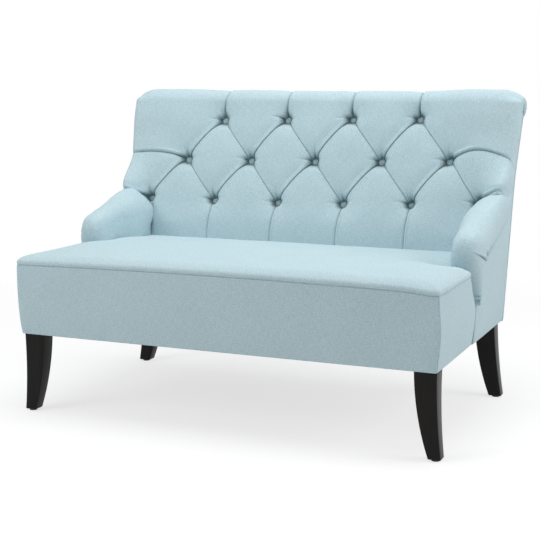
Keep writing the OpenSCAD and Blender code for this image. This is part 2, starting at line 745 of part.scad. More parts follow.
// Sabre legs: the profile from the front, thinned towards the foot
leg_bow = 9;
leg_hollow = 4;
module leg(s, rear) place() color(espresso)
    mirrored(s) difference() {
        intersection() {
            translate([0, leg_centre_y(rear) + leg_top_t, 0]) rotate([90, 0, 0])
                linear_extrude(2 * leg_top_t)
                    polygon(concat(
                        arc([leg_top_x(rear), leg_h], [foot_x(rear), glide_h], -leg_hollow, 8),
                        arc([foot_x(rear) - foot_w(rear), glide_h],
                            [leg_top_x(rear) - leg_top_w, leg_h], leg_bow, 8)));
            translate([0, leg_centre_y(rear), 0]) rotate([90, 0, 90]) linear_extrude(seat_w)
                polygon([[-leg_foot_t / 2, glide_h], [leg_foot_t / 2, glide_h],
                         [leg_top_t / 2, leg_h], [-leg_top_t / 2, leg_h]]);
        }
        translate([bolt_x(rear), leg_centre_y(rear), leg_h - bolt_in_leg])
            cylinder(h = leg_h, d = bolt_d + 2 * hole_gap, $fn = round_fn);
        translate([foot_x(rear) - foot_w(rear) / 2, leg_centre_y(rear), 0])
            cylinder(h = glide_h + pin_l + 1, d = pin_d + 2 * hole_gap, $fn = round_fn);
    }
module front_left_leg() leg(-1, false);
module front_right_leg() leg(1, false);
module rear_left_leg() leg(-1, true);
module rear_right_leg() leg(1, true);

module leg_bolts() place() color(steel)
    at_bolts() translate([0, 0, leg_h - bolt_in_leg + 1])
        cylinder(h = bolt_in_leg + dust_t + plate_t - 2, d = bolt_d, $fn = round_fn);

module leg_nuts() place() color(steel)
    difference() {
        at_bolts() union() {
            translate([0, 0, plate_z - nut_flange_t])
                cylinder(h = nut_flange_t, d = nut_flange_d, $fn = round_fn);
            translate([0, 0, plate_z - nut_barrel_t])
                cylinder(h = nut_barrel_t, d = bolt_d + 2 * nut_wall, $fn = round_fn);
        }
        at_bolts() cylinder(h = 2 * leg_h, d = bolt_d + hole_gap, $fn = round_fn);
    }

module foot_glides() place() color(black_cloth)
    for (s = [-1, 1], rear = [false, true])
        mirrored(s) translate([foot_x(rear) - foot_w(rear) / 2, leg_centre_y(rear), 0]) {
            cylinder(h = glide_h, d = glide_d, $fn = round_fn);
            cylinder(h = glide_h + pin_l, d = pin_d, $fn = round_fn);
        }

front_rail();
rear_rail();
seat_stretchers();
corner_plates();
corner_screws();
left_side_frame();
right_side_frame();
frame_dowels();
back_top_rail();
back_lower_rail();
back_stiles();
seat_springs();
spring_clips();
spring_tie_wires();
spring_felt();
seat_foam();
seat_top_cover();
seat_front_border();
left_seat_border();
right_seat_border();
back_webbing();
back_felt();
tufted_back_pad();
back_buttons();
tufting_twine();
tufting_washers();
left_arm_pad();
right_arm_pad();
left_arm_roll();
right_arm_roll();
left_outer_cover();
right_outer_cover();
outside_back_cover();
dust_cover();
front_left_leg();
front_right_leg();
rear_left_leg();
rear_right_leg();
leg_bolts();
leg_nuts();
foot_glides();
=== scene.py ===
"""Visual model of a deep-buttoned settee: covers, cushions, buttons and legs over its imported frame."""
import json

import bpy
import numpy as np
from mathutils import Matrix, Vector
from mathutils.geometry import delaunay_2d_cdt
from numpy import arange, array, clip, cos, exp, interp, linspace, minimum, radians, roll, sin, where
from numpy.linalg import norm


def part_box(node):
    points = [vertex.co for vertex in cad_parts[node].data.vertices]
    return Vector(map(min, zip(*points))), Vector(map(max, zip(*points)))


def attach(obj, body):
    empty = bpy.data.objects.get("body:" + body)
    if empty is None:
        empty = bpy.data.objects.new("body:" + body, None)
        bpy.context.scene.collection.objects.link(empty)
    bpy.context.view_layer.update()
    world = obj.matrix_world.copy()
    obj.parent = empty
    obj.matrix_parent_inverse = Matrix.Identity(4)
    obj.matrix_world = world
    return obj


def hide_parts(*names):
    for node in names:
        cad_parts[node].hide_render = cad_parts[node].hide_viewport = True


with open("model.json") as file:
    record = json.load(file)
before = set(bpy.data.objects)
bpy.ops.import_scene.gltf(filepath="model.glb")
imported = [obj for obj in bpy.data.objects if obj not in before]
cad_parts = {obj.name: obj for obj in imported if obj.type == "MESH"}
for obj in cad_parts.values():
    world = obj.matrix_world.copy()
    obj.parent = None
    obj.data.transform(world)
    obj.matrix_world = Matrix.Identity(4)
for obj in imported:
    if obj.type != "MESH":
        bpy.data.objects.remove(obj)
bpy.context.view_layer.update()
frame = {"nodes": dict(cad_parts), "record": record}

# Sizes are in millimetres, in the frame's axes; meshes are turned into metres as they are made
MM = 0.001
PI = np.pi
RAKE = radians(18)  # of the back's front
SIN, COS, TAN = sin(RAKE), cos(RAKE), np.tan(RAKE)
REAR_LEAN = radians(3)  # of the rear below its knee
FLARE = np.tan(radians(2.4))  # of both sides
STEP_X = 110  # half the pitch between buttons in a row
STEP_T = 131  # from row to row
FOLD = np.hypot(STEP_X, STEP_T)  # from a button to the next one of the next row
CROWN = 40  # from the buttons' plane to the tops of the tufts
ROLL_R = 50
ARM_W = 79
ARM_SET_BACK = 369.3  # from the seat's front to the arms
ROW_RISE = 144  # from the seat's seam to the lowest buttons
REAR_N = 35  # from the buttons' plane to the rear cover
FOOT_T = 1 - ROW_RISE / COS  # where the tufted pad starts, below the lowest buttons
TOP_T = 2 * STEP_T + 50  # where its roll starts


def box_mm(node):
    low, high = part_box(node)
    return array(low) / MM, array(high) / MM


border_low, border_high = box_mm("seat_front_border")
top_low, top_high = box_mm("seat_top_cover")
BOX_Z = border_low[2]
SEAM_Z = top_low[2]
BOX_H = SEAM_Z - BOX_Z
FRONT_Y = border_low[1]
ARM_FRONT_Y = FRONT_Y + ARM_SET_BACK
SEAT_REAR_Y = top_high[1]
SEAT_HALF = border_high[0] - (border_high[2] - BOX_Z) * FLARE
ROW_Z = SEAM_Z + ROW_RISE
ROW_Y = SEAT_REAR_Y + ROW_RISE * TAN + 2.3
HANDS = {-1: "left", 1: "right"}


def smooth(u):
    u = clip(u, 0, 1)
    return u * u * (3 - 2 * u)


def bump(d, width, power=2.0):
    return exp(-abs(d / width) ** power)


def joined(*parts, axis=0):
    return np.concatenate(parts, axis)


def stacked(*parts):
    """Values side by side, on a new last axis."""
    return np.stack(parts, -1)


def unit(v):
    return v / np.maximum(norm(v, axis=-1, keepdims=True), 1e-6)


def hill(u):
    """0 at both ends of 0 to 1, and 1 halfway."""
    return sin(PI * clip(u, 0, 1))


def side_x(z):
    return SEAT_HALF + (z - BOX_Z) * FLARE


def back_y(n, t):
    """Depth of a place on the back, n behind the buttons' plane and t up the rake."""
    return ROW_Y + n * COS + t * SIN


def back_z(n, t):
    return ROW_Z - n * SIN + t * COS


def plane_y(n, z):
    return ROW_Y + (z - ROW_Z) * TAN + n / COS


def noise(points, size, seed):
    """Smooth repeatable noise from a few waves in fixed directions, from about -1 to 1."""
    rng = np.random.default_rng(seed)
    flat = points.reshape(-1, points.shape[-1])
    total = np.zeros(len(flat))
    for _ in range(7):
        way = rng.normal(size=flat.shape[1])
        way /= norm(way)
        wave = 2 * PI / (size * rng.uniform(0.6, 1.7))
        total += sin(flat @ way * wave + rng.uniform(0, 2 * PI))
    return (total / 7 * 1.6).reshape(points.shape[:-1])


# Materials
MATERIALS = {}


def put(nt, socket, value):
    """Sets a socket to a number, vector or colour, or links it to another node's output."""
    if isinstance(value, bpy.types.NodeSocket):
        nt.links.new(value, socket)
    else:
        socket.default_value = (*value, 1) if socket.type == "RGBA" else value


def node(nt, kind, inputs={}, **settings):
    made = nt.nodes.new("ShaderNode" + kind)
    for key, value in settings.items():
        setattr(made, key, value)
    for key, value in inputs.items():
        put(nt, made.inputs[key], value)
    return made


def maths(nt, operation, *values):
    return node(nt, "Math", dict(enumerate(values)), operation=operation).outputs[0]


def times(nt, a, b):
    return maths(nt, "MULTIPLY", a, b)


def weighed(nt, *parts):
    """The sum of values, each times its weight."""
    total = 0.0
    for value, weight in parts:
        total = maths(nt, "ADD", times(nt, value, weight), total)
    return total


def mix_colour(nt, factor, a, b):
    return node(nt, "Mix", {"Factor": factor, "A": a, "B": b}, data_type="RGBA").outputs["Result"]


def ramp(nt, value, low, high):
    return node(nt, "MapRange", {"Value": value, "From Min": low, "From Max": high}).outputs["Result"]


def noise_tex(nt, vector, stretch, scale, detail):
    place = node(nt, "Mapping", {"Vector": vector, "Scale": stretch}).outputs["Vector"]
    return node(nt, "TexNoise", {"Vector": place, "Scale": scale, "Detail": detail}).outputs["Fac"]


def emboss(nt, bsdf, height, strength, distance):
    relief = node(nt, "Bump", {"Height": height, "Strength": strength, "Distance": distance})
    put(nt, bsdf.inputs["Normal"], relief.outputs["Normal"])


def material(name, colour, rough, build, **sockets):
    made = bpy.data.materials.new(name)
    made.use_nodes = True
    made.diffuse_color = (*colour, 1)
    nt = made.node_tree
    bsdf = nt.nodes["Principled BSDF"]
    for key, value in {"Base_Color": colour, "Roughness": rough, **sockets}.items():
        put(nt, bsdf.inputs[key.replace("_", " ")], value)
    build(nt, bsdf)
    MATERIALS[name] = made
    return made


YARN = 1.1 * MM  # pitch of the weave
GAP_TONE = 0.10  # how much the cloth darkens between its yarns
PAINTED_SHADE_TONE = 0.82  # and how far painted shade darkens it at the bottom of a crease
# the colour of that painted shade, a deep teal
PAINTED_SHADE_COLOUR = (0.06, 0.125, 0.13)
MOTTLE = 0.22
SLUBS = ((60, 900, 1), (900, 60, 1))  # stretches of the noise along each yarn
WEAVE_RELIEF = 0.4 * MM
GRAIN_RELIEF = 0.6 * MM


def woven(light, dark):
    """Plain weave on the "weave" map, which is in metres, with slubs along both yarns, a heather, and painted
    shade in the creases that the crease attribute marks.
    """
    def build(nt, bsdf):
        uv = node(nt, "UVMap", uv_map="weave").outputs["UV"]
        split = node(nt, "SeparateXYZ", {"Vector": uv})
        waves = [maths(nt, "SINE", times(nt, split.outputs[axis], PI / YARN)) for axis in "XY"]
        thread = maths(nt, "ABSOLUTE", times(nt, *waves))
        slub = weighed(nt, *((noise_tex(nt, uv, stretch, 1.0, 3.0), 0.5) for stretch in SLUBS))
        fleck = noise_tex(nt, uv, (300, 480, 1), 1.0, 2.0)
        cloud = noise_tex(nt, uv, (9, 9, 1), 1.0, 4.0)
        shade = weighed(nt, (slub, 0.50), (fleck, 0.45), (cloud, 0.05))
        colour = mix_colour(nt, ramp(nt, shade, 0.5 - MOTTLE / 4, 0.5 + MOTTLE / 4), dark, light)
        gap = times(nt, maths(nt, "SUBTRACT", 1.0, thread), GAP_TONE)
        colour = mix_colour(nt, gap, colour, tuple(c * 0.55 for c in dark))
        # Painted shade: the crease attribute darkens the cloth towards a deep teal in pits, folds and at
        # seams
        deep = node(nt, "Attribute", attribute_name="crease").outputs["Fac"]
        colour = mix_colour(nt, times(nt, deep, PAINTED_SHADE_TONE), colour, PAINTED_SHADE_COLOUR)
        put(nt, bsdf.inputs["Base Color"], colour)
        emboss(nt, bsdf, weighed(nt, (thread, 0.5), (slub, 0.8)), 0.5, WEAVE_RELIEF)
        rough = maths(nt, "ADD", times(nt, ramp(nt, slub, 0.3, 0.7), 0.08), 0.82)
        put(nt, bsdf.inputs["Roughness"], rough)
    return build


def grained(light, dark, along=(1, 1, 0.06), scale=160, relief=0.12, rough=(0.28, 0.42)):
    """Wood grain that runs along one of the object's axes."""
    def build(nt, bsdf):
        place = node(nt, "TexCoord").outputs["Object"]
        wave = noise_tex(nt, place, along, scale * 0.25, 4.0)
        fine = noise_tex(nt, place, along, scale * 2.2, 2.0)
        shade = weighed(nt, (wave, 0.65), (fine, 0.35))
        put(nt, bsdf.inputs["Base Color"], mix_colour(nt, ramp(nt, shade, 0.36, 0.64), dark, light))
        emboss(nt, bsdf, fine, relief, GRAIN_RELIEF)
        put(nt, bsdf.inputs["Roughness"],
            maths(nt, "ADD", times(nt, wave, rough[1] - rough[0]), rough[0]))
    return build


def speckled(light, dark, scale, relief, distance, stretch=(1, 1, 1)):
    """Fibres, foam cells or fine grit on the object's own axes."""
    def build(nt, bsdf):
        place = node(nt, "TexCoord").outputs["Object"]
        grit = noise_tex(nt, place, stretch, scale, 4.0)
        shade = weighed(nt, (grit, 0.7), (noise_tex(nt, place, stretch, scale * 0.06, 2.0), 0.3))
        put(nt, bsdf.inputs["Base Color"], mix_colour(nt, ramp(nt, shade, 0.35, 0.65), dark, light))
        emboss(nt, bsdf, grit, relief, distance * MM)
    return build


material("aqua_fabric", (0.45, 0.60, 0.64), 0.86, woven((0.58, 0.725, 0.77), (0.42, 0.56, 0.605)),
    Sheen_Weight=0.25, Sheen_Roughness=0.45, Sheen_Tint=(0.85, 0.95, 1.0), Specular_IOR_Level=0.25)
material("espresso_legs", (0.006, 0.005, 0.0048), 0.3,
    grained((0.0085, 0.0068, 0.0062), (0.003, 0.0026, 0.0025)), IOR=1.25)
material("beech_rails", (0.58, 0.36, 0.17), 0.6,
    grained((0.62, 0.40, 0.21), (0.42, 0.25, 0.11), (0.06, 1, 1), 150, 0.2, (0.5, 0.7)))
material("birch_plywood", (0.68, 0.50, 0.27), 0.6,
    grained((0.72, 0.54, 0.31), (0.55, 0.38, 0.19), (1, 0.12, 0.12), 170, 0.2, (0.5, 0.7)))
material("seat_foam", (0.86, 0.76, 0.5), 0.95,
    speckled((0.90, 0.80, 0.54), (0.66, 0.55, 0.34), 900, 0.6, 0.6))
material("grey_felt", (0.27, 0.26, 0.24), 0.95,
    speckled((0.36, 0.35, 0.33), (0.16, 0.155, 0.15), 700, 0.6, 0.6, (1, 0.3, 0.3)))
material("jute_webbing", (0.5, 0.3, 0.11), 0.9,
    speckled((0.60, 0.38, 0.16), (0.32, 0.18, 0.06), 500, 0.7, 0.6, (1, 0.2, 1)))
material("waxed_twine", (0.6, 0.47, 0.26), 0.6,
    speckled((0.68, 0.54, 0.32), (0.42, 0.31, 0.15), 1200, 0.5, 0.3))
material("steel_hardware", (0.5, 0.52, 0.54), 0.32,
    speckled((0.55, 0.57, 0.59), (0.38, 0.39, 0.41), 600, 0.1, 0.2, (1, 1, 0.1)), Metallic=1.0)
material("black_dust_cloth", (0.02, 0.02, 0.022), 0.9,
    speckled((0.035, 0.035, 0.038), (0.010, 0.010, 0.011), 1400, 0.5, 0.3))
material("black_glides", (0.02, 0.02, 0.02), 0.5,
    speckled((0.028, 0.028, 0.028), (0.014, 0.014, 0.014), 900, 0.15, 0.2))


# Meshes
scene = bpy.context.scene


def add_object(name, data):
    made = bpy.data.objects.new(name, data)
    scene.collection.objects.link(made)
    return made


def piece(name, points, faces, uv=None, crease=None, slot="aqua_fabric"):
    """A piece from points in millimetres and faces of 3 or 4 corners; uv has a pair for each point, and
    crease says from 0 to 1 how deep in a fold it lies, and so how far painted shade darkens its cloth there."""
    points = np.reshape(points, (-1, 3)) * MM
    faces = np.asarray(faces, np.int64)
    mesh = bpy.data.meshes.new(name)
    mesh.vertices.add(len(points))
    mesh.vertices.foreach_set("co", points.astype(np.float32).ravel())
    mesh.loops.add(faces.size)
    mesh.loops.foreach_set("vertex_index", faces.ravel().astype(np.int32))
    mesh.polygons.add(len(faces))
    mesh.polygons.foreach_set("loop_start", arange(0, faces.size, faces.shape[1], dtype=np.int32))
    mesh.update(calc_edges=True)
    mesh.validate()
    if uv is not None:
        corners = (np.reshape(uv, (-1, 2)) * MM)[faces.ravel()]
        mesh.uv_layers.new(name="weave").data.foreach_set("uv", corners.astype(np.float32).ravel())
    # Painted shade: the crease values darken the cloth's colour in its folds
    if crease is not None:
        values = np.asarray(crease, np.float32).ravel()
        mesh.attributes.new("crease", "FLOAT", "POINT").data.foreach_set("value", values)
    mesh.polygons.foreach_set("use_smooth", np.ones(len(mesh.polygons), bool))
    mesh.materials.append(MATERIALS[slot])
    obj = add_object(name, mesh)
    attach(obj, "root")
    return obj


def grid_faces(rows, cols, start=0, flip=False, wrap=False):
    """Quads of a grid; with wrap the last column joins the first."""
    i, j = np.meshgrid(arange(rows - 1), arange(cols if wrap else cols - 1), indexing="ij")
    a = start + i * cols + j
    b = start + i * cols + (j + 1) % cols
    quads = stacked(a, b, b + cols, a + cols).reshape(-1, 4)
    return quads[:, ::-1] if flip else quads


def run_length(points):
    """Length along each row of points."""
    steps = norm(np.diff(points, axis=-2), axis=-1)
    return joined(np.zeros(steps.shape[:-1] + (1,)), np.cumsum(steps, -1), axis=-1)


# Camera, floor and light
AZIMUTH, ELEVATION = radians(23.22), radians(8.95)
scene.view_settings.view_transform = "Standard"


def aim(obj, at, way):
    obj.location = at
    obj.rotation_mode = "QUATERNION"
    obj.rotation_quaternion = way.to_track_quat("-Z", "Y")


view = bpy.data.cameras.new("camera")
view.lens, view.sensor_width, view.clip_end = 78.66, 36, 100
camera = add_object("camera", view)
aim(camera, (1.3494, -3.1925, 0.9381),
    Vector((-sin(AZIMUTH) * cos(ELEVATION), cos(AZIMUTH) * cos(ELEVATION), -sin(ELEVATION))))
scene.camera = camera


def by_ray(nt, output, lit, shown):
    """One shader for the light's rays, another for the camera's and for mirrored or transmitted ones."""
    path = node(nt, "LightPath").outputs
    seen = maths(nt, "MAXIMUM", path["Is Camera Ray"], path["Is Glossy Ray"])
    seen = maths(nt, "MAXIMUM", seen, path["Is Transmission Ray"])
    mixed = node(nt, "MixShader", {0: seen, 1: lit.outputs[0], 2: shown.outputs[0]})
    put(nt, nt.nodes[output].inputs["Surface"], mixed.outputs[0])


def studio_floor(nt, bsdf):
    """Pale and plain to the light; to the camera nearly white, with the object's shadow on it."""
    shadowed = node(nt, "BsdfDiffuse", {"Color": (0.34, 0.34, 0.335)})
    glow = node(nt, "Emission", {"Strength": 0.70})
    near = node(nt, "AddShader", {0: shadowed.outputs[0], 1: glow.outputs[0]})
    away = node(nt, "VectorMath", {0: node(nt, "TexCoord").outputs["Object"]}, operation="LENGTH")
    plain = node(nt, "Emission", {"Strength": 1.0})
    both = node(nt, "MixShader", {0: ramp(nt, away.outputs["Value"], 1.1, 2.6), 1: near.outputs[0],
        2: plain.outputs[0]})
    by_ray(nt, "Material Output", bsdf, both)


FLOOR_HALF = 30
floor_mesh = bpy.data.meshes.new("floor")
floor_mesh.from_pydata([(x * FLOOR_HALF, y * FLOOR_HALF, 0) for x, y in ((-1, -1), (1, -1), (1, 1), (-1, 1))],
    [], [(0, 1, 2, 3)])
floor_mesh.materials.append(material("floor", (0.80, 0.80, 0.79), 0.9, studio_floor, Specular_IOR_Level=0.0))
floor = add_object("floor", floor_mesh)

scene.world = bpy.data.worlds.new("studio")
scene.world.use_nodes = True
sky_nodes = scene.world.node_tree
sky = sky_nodes.nodes["Background"]
put(sky_nodes, sky.inputs["Color"], (0.94, 0.97, 1.0))
put(sky_nodes, sky.inputs["Strength"], 0.365)
by_ray(sky_nodes, "World Output", sky, node(sky_nodes, "Background", {"Color": (1, 1, 1), "Strength": 1.0}))


def area_light(name, at, towards, size, power):
    data = bpy.data.lights.new(name, "AREA")
    data.shape = "RECTANGLE"
    data.size, data.size_y = size
    data.energy = power
    aim(add_object(name, data), at, Vector(towards) - Vector(at))


area_light("overhead", (0.1, -0.15, 3.2), (0, 0, 0.4), (2.6, 2.0), 58)
area_light("key", (3.1, 0.45, 1.8), (0, 0, 0.5), (1.6, 1.6), 36)
area_light("fill", (-2.1, -2.6, 1.9), (-0.4, -0.2, 0.5), (1.4, 1.4), 28)

# The tufted back, laid out on the lattice of its buttons: a = x / STEP_X, b = t / STEP_T
BUTTONS = [(a, b) for b, outer in enumerate((5, 4, 3)) for a in range(-outer, outer + 1, 2)]
PIT_DEPTH = 38
BUTTON_R = 11.4
BUTTON_RIM, BUTTON_DOME = 3, 6.2  # its rim over the buttons' plane, and its rise from there
BUTTON_SHADE = 0.16
CELLS = 44  # grid steps from button to button
FIELD_X = 5 * STEP_X  # the lattice runs to the outermost buttons
EDGE_R = 15
SIDE_IN = 48  # how far the cover runs in behind the crown at its sides
EDGE_RUN = SEAT_HALF - FIELD_X  # from the outermost buttons to the round edge, along the sheet
FOOT_SHARE = 0.6  # what is left of the crown at the pad's foot
RIM_FORWARD = 44
NECK = array([(57, 295), (51, 293), (45, 293), (40, 296), (36, 300)])  # n and t behind the roll


def leg_depth(u):
    """How deep a fold lies along its way, from its lower button at 0 to its upper one at 1."""
    return clip(0.07 + 0.93 * (exp(-u / 0.13) + exp(-((1 - u) / 0.19) ** 1.4)), 0, 1)


def fold_depth(x, t):
    """Depth of the sheet below its crown at lattice places x, t, and the share of its tight creases."""
    rng = np.random.default_rng(41)
    broad = 0 * x  # smooth valleys, joined by a soft maximum
    fine = 0 * x  # tight creases and lips, added
    power = 3.0

    def valley(depth):
        nonlocal broad
        broad += clip(depth, 0, None) ** power

    def pleat(along, d, decay, upper, lower, lines, fade=1):
        """A pleat that runs out from a pit, with its widths on either side and its creases."""
        fade = fade * smooth(along / 14)
        valley(fade * (PIT_DEPTH * exp(-clip(along, 0, None) / decay) + 4)
            * where(d > 0, bump(d, upper, 1.5), bump(d, lower, 1.3)))
        return fade * sum(deep * bump(d - off, width, power) for deep, off, width, power in lines)

    for a, b in BUTTONS:
        for side in (-1, 1):
            if (a + side, b + 1) not in BUTTONS:
                continue
            dx, dt = x - a * STEP_X, t - b * STEP_T
            u = (dx * side * STEP_X + dt * STEP_T) / FOLD ** 2
            d = (dt * STEP_X - dx * side * STEP_T) / FOLD  # towards the upper panel
            inside = smooth((u + 0.02) / 0.08) * smooth((1.02 - u) / 0.08)
            mid = hill(u)
            axis = PIT_DEPTH * leg_depth(clip(u, 0, 1))
            valley(inside * (8.5 if side > 0 else 6.5) * bump(d, 30, 1.7))
            if side > 0:  # these fold over: a lip above, a soft hollow below
                lip = 5 + rng.uniform(-0.8, 1.5) + 6 * (1 - mid)
                across = where(d > 0, bump(d, lip, 1.5), bump(d, 13 + 5 * (1 - mid), 1.2))
                fine += inside * mid ** 0.4 * (8.5 * bump(d + 0.4, 1.5) - 2.6 * mid * bump(d - 5, 4))
            else:  # and these only meet
                axis = axis * (1 - 0.35 * mid ** 2)
                across = bump(d, 8 + 7 * (1 - mid), 1.3)
                fine += inside * mid ** 0.4 * 4.6 * bump(d, 1.1, 1.6)
            valley(axis * across * inside)
    for a, b in BUTTONS:
        dx, dt = x - a * STEP_X, t - b * STEP_T
        rho, angle = np.hypot(dx, dt), np.arctan2(dt, dx)
        valley(PIT_DEPTH * exp(-(clip(rho - 11, 0, None) / 8) ** 1.1))
        valley(0.30 * PIT_DEPTH * bump(rho, 50, 1.8))
        wrinkles = [(90, 46, 1.0), (76, 34, 0.6), (107, 38, 0.7), (178, 46, 0.9), (166, 30, 0.5),
            (4, 38, 0.7), (-10, 26, 0.5)]
        for degrees, reach, share in wrinkles:
            way = angle - radians(degrees + rng.uniform(-6, 6))
            reach *= rng.uniform(0.8, 1.25)
            along, off = rho * cos(way), rho * sin(way)
            fade = smooth((along - 5) / 12) * smooth((reach + 8 - along) / (reach * 0.8))
            fine += 3.6 * share * rng.uniform(0.7, 1.2) * fade * bump(off, 2.1 + 0.03 * abs(along))
    for a, b in BUTTONS:
        d = x - a * STEP_X
        if b == 0:  # pleats from the lowest buttons down into the seat
            fine += pleat(-t, d, 17, 8, 16, ((5.0, 0, 1.7, 1.5), (2.4, 11, 2.0, 1.5), (-1.6, 5.5, 4, 2)))
        if b == 2:  # and from the highest up over the roll
            ends = smooth((TOP_T + ROLL_R * PI / 2 + 40 - t) / 50)
            fine += pleat(t - 2 * STEP_T, d, 18, 8, 18, ((6.0, 0, 1.9, 1.5), (-1.8, 9, 6, 2)), ends)
    for side in (-1, 1):  # and from the end buttons out to the sides
        for a, b in ((4, 1), (5, 0)):
            creases = pleat(side * x - a * STEP_X, t - b * STEP_T, 20, 7, 17,
                ((6.5, 0, 1.8, 1.5), (-2.6, 7, 5, 2)))
            fine += creases * (1 - 0.6 * smooth((abs(x) - 585) / 40))
    depth = broad ** (1 / power) + fine
    for a, b in BUTTONS:  # the cloth closes over the rim of each button and runs in beneath it
        rho = np.hypot(x - a * STEP_X, t - b * STEP_T)
        near = where(rho < 22, minimum(depth, 34.4 - 0.5 * (rho - 8.2)), depth)
        depth = where(rho > 8.2, near, PIT_DEPTH + 4)
    return depth, fine


def drift(x, t):
    """How far the tied lattice lies off its even places: its rows tilt, and sag in the middle."""
    foot = smooth((t + 110) / 110)
    dx = 6 - 17 * clip(abs(x) / FIELD_X, 0, 1) ** 4
    dt = 0.018 * x - (10 - 5 * t / STEP_T) * clip(1 - (x / 605) ** 2, 0, 1)
    return dx * foot * smooth((TOP_T + 130 - t) / 130), dt * foot * smooth((TOP_T - 2 - t) / 48)


def pleat_shift(x, t):
    """How far the sheet is dragged along itself, which bends the pleats at its rim."""
    dx, dt = 0 * x, 0 * t
    up, down = smooth((t - 2 * STEP_T) / 130), smooth(-t / 130)
    for a, reach in ((-3, 13), (-1, 7), (1, 5), (3, 4)):
        dx += (reach * up - 3 * down) * bump(x - a * STEP_X, 60)
    for a, b in BUTTONS:
        off_x, off_t = x - a * STEP_X, t - b * STEP_T
        lip = bump(off_t - 14, 8) * bump(off_x + 6, 13)
        dt -= 8 * lip
        dx += 4 * lip + 3 * bump(off_x + 14, 6) * bump(off_t, 10)
        if (a + 1, b + 1) in BUTTONS:
            bow = hill((off_x / STEP_X + off_t / STEP_T) / 2)
            d = (off_t * STEP_X - off_x * STEP_T) / FOLD
            over = 3.4 * bow ** 0.6 * bump(d - 3.5, 4) - 7 * bow * bump(d, 34)
            dx += over * STEP_T / FOLD
            dt -= over * STEP_X / FOLD
    row0, row1 = bump(t, 40), bump(t - STEP_T, 45)
    for side, high, run, power, last in ((1, 29, 1.75, 1, 1.12), (-1, 20, 2.1, 0.8, 1)):
        out = clip(side * x / STEP_X - 4, 0, 2)
        dt += row1 * high * sin(clip(out / run, 0, last) * PI) ** power * (side * x > 0)
    dt += row0 * 34 * np.sqrt(clip(x / STEP_X - 5, 0, 1)) + row0 * 22 * clip(-x / STEP_X - 5, 0, 1)
    off_x, off_t = drift(x, t)
    return dx + off_x, dt + off_t


def back_rows():
    """Rows up the front, over the roll and into the neck behind it: place n, t, the sheet's outward way,
    and the length run along the sheet."""
    step = STEP_T / CELLS
    front = array([FOOT_T, *(step * arange(np.ceil(FOOT_T / step), int(TOP_T / step) + 1))])
    phi = radians(arange(180 - 2.6, -20, -3.2))
    n = joined(0 * front - CROWN, ROLL_R - CROWN + ROLL_R * cos(phi), NECK[:, 0])
    t = joined(front, TOP_T + ROLL_R * sin(phi), NECK[:, 1])
    out_n = joined(0 * front - 1, cos(phi), 0 * NECK[:, 0] + 0.2)
    out_t = joined(0 * front, sin(phi), 0 * NECK[:, 0] - 1)
    run = joined(front, TOP_T + ROLL_R * (PI - phi))
    run = joined(run, run[-1] + 6 * arange(1, len(NECK) + 1))
    return len(front), *(v[:, None] for v in (n, t, out_n, out_t, run))


def back_columns(half, run, in_neck):
    """Columns over the lattice, its margin, the round edge and the side: x, how far each has turned in,
    and its place on the flat sheet."""
    rim = [(kind, v) for kind, end, count in (("margin", 1, 23), ("turn", PI / 2, 10))
        for v in linspace(0, end, count)[1:]]
    rim += [("side", v) for v in linspace(EDGE_R, SIDE_IN, 9)[1:]]
    inner = arange(-FIELD_X, FIELD_X + 0.1, STEP_X / CELLS)
    flat_end = half - EDGE_R
    upper = hill(clip((run - STEP_T) / (TOP_T - STEP_T) * 0.6, 0, 0.6))
    columns = {-1: [], 1: []}
    for sign, column in columns.items():
        lower = hill(run / STEP_T) if sign > 0 \
            else 0.6 * smooth((run + 40) / 75) * smooth((STEP_T - run) / 71)
        bulge = (1 + where(run > STEP_T, 5 * upper, 6 * lower)) * (1 - in_neck)
        for kind, v in rim:
            x, inward, along = FIELD_X + v * (flat_end - FIELD_X), 0, v * EDGE_RUN
            if kind == "turn":
                x, inward = flat_end + (EDGE_R + bulge) * sin(v), EDGE_R * (1 - cos(v))
                along = EDGE_RUN + v * EDGE_R
            elif kind == "side":
                x, inward = half + bulge * (1 - ((v - EDGE_R) / (SIDE_IN - EDGE_R)) ** 2), v
                along = EDGE_RUN + EDGE_R * (PI / 2 - 1) + v
            column.append([sign * x, inward + 0 * half, sign * (FIELD_X + along) + 0 * half])
    middle = [[v + 0 * half, 0 * half, v + 0 * half] for v in inner]
    grid = array(columns[-1][::-1] + middle + columns[1])[..., 0]  # column, kind of value, row
    return grid.transpose(1, 2, 0)


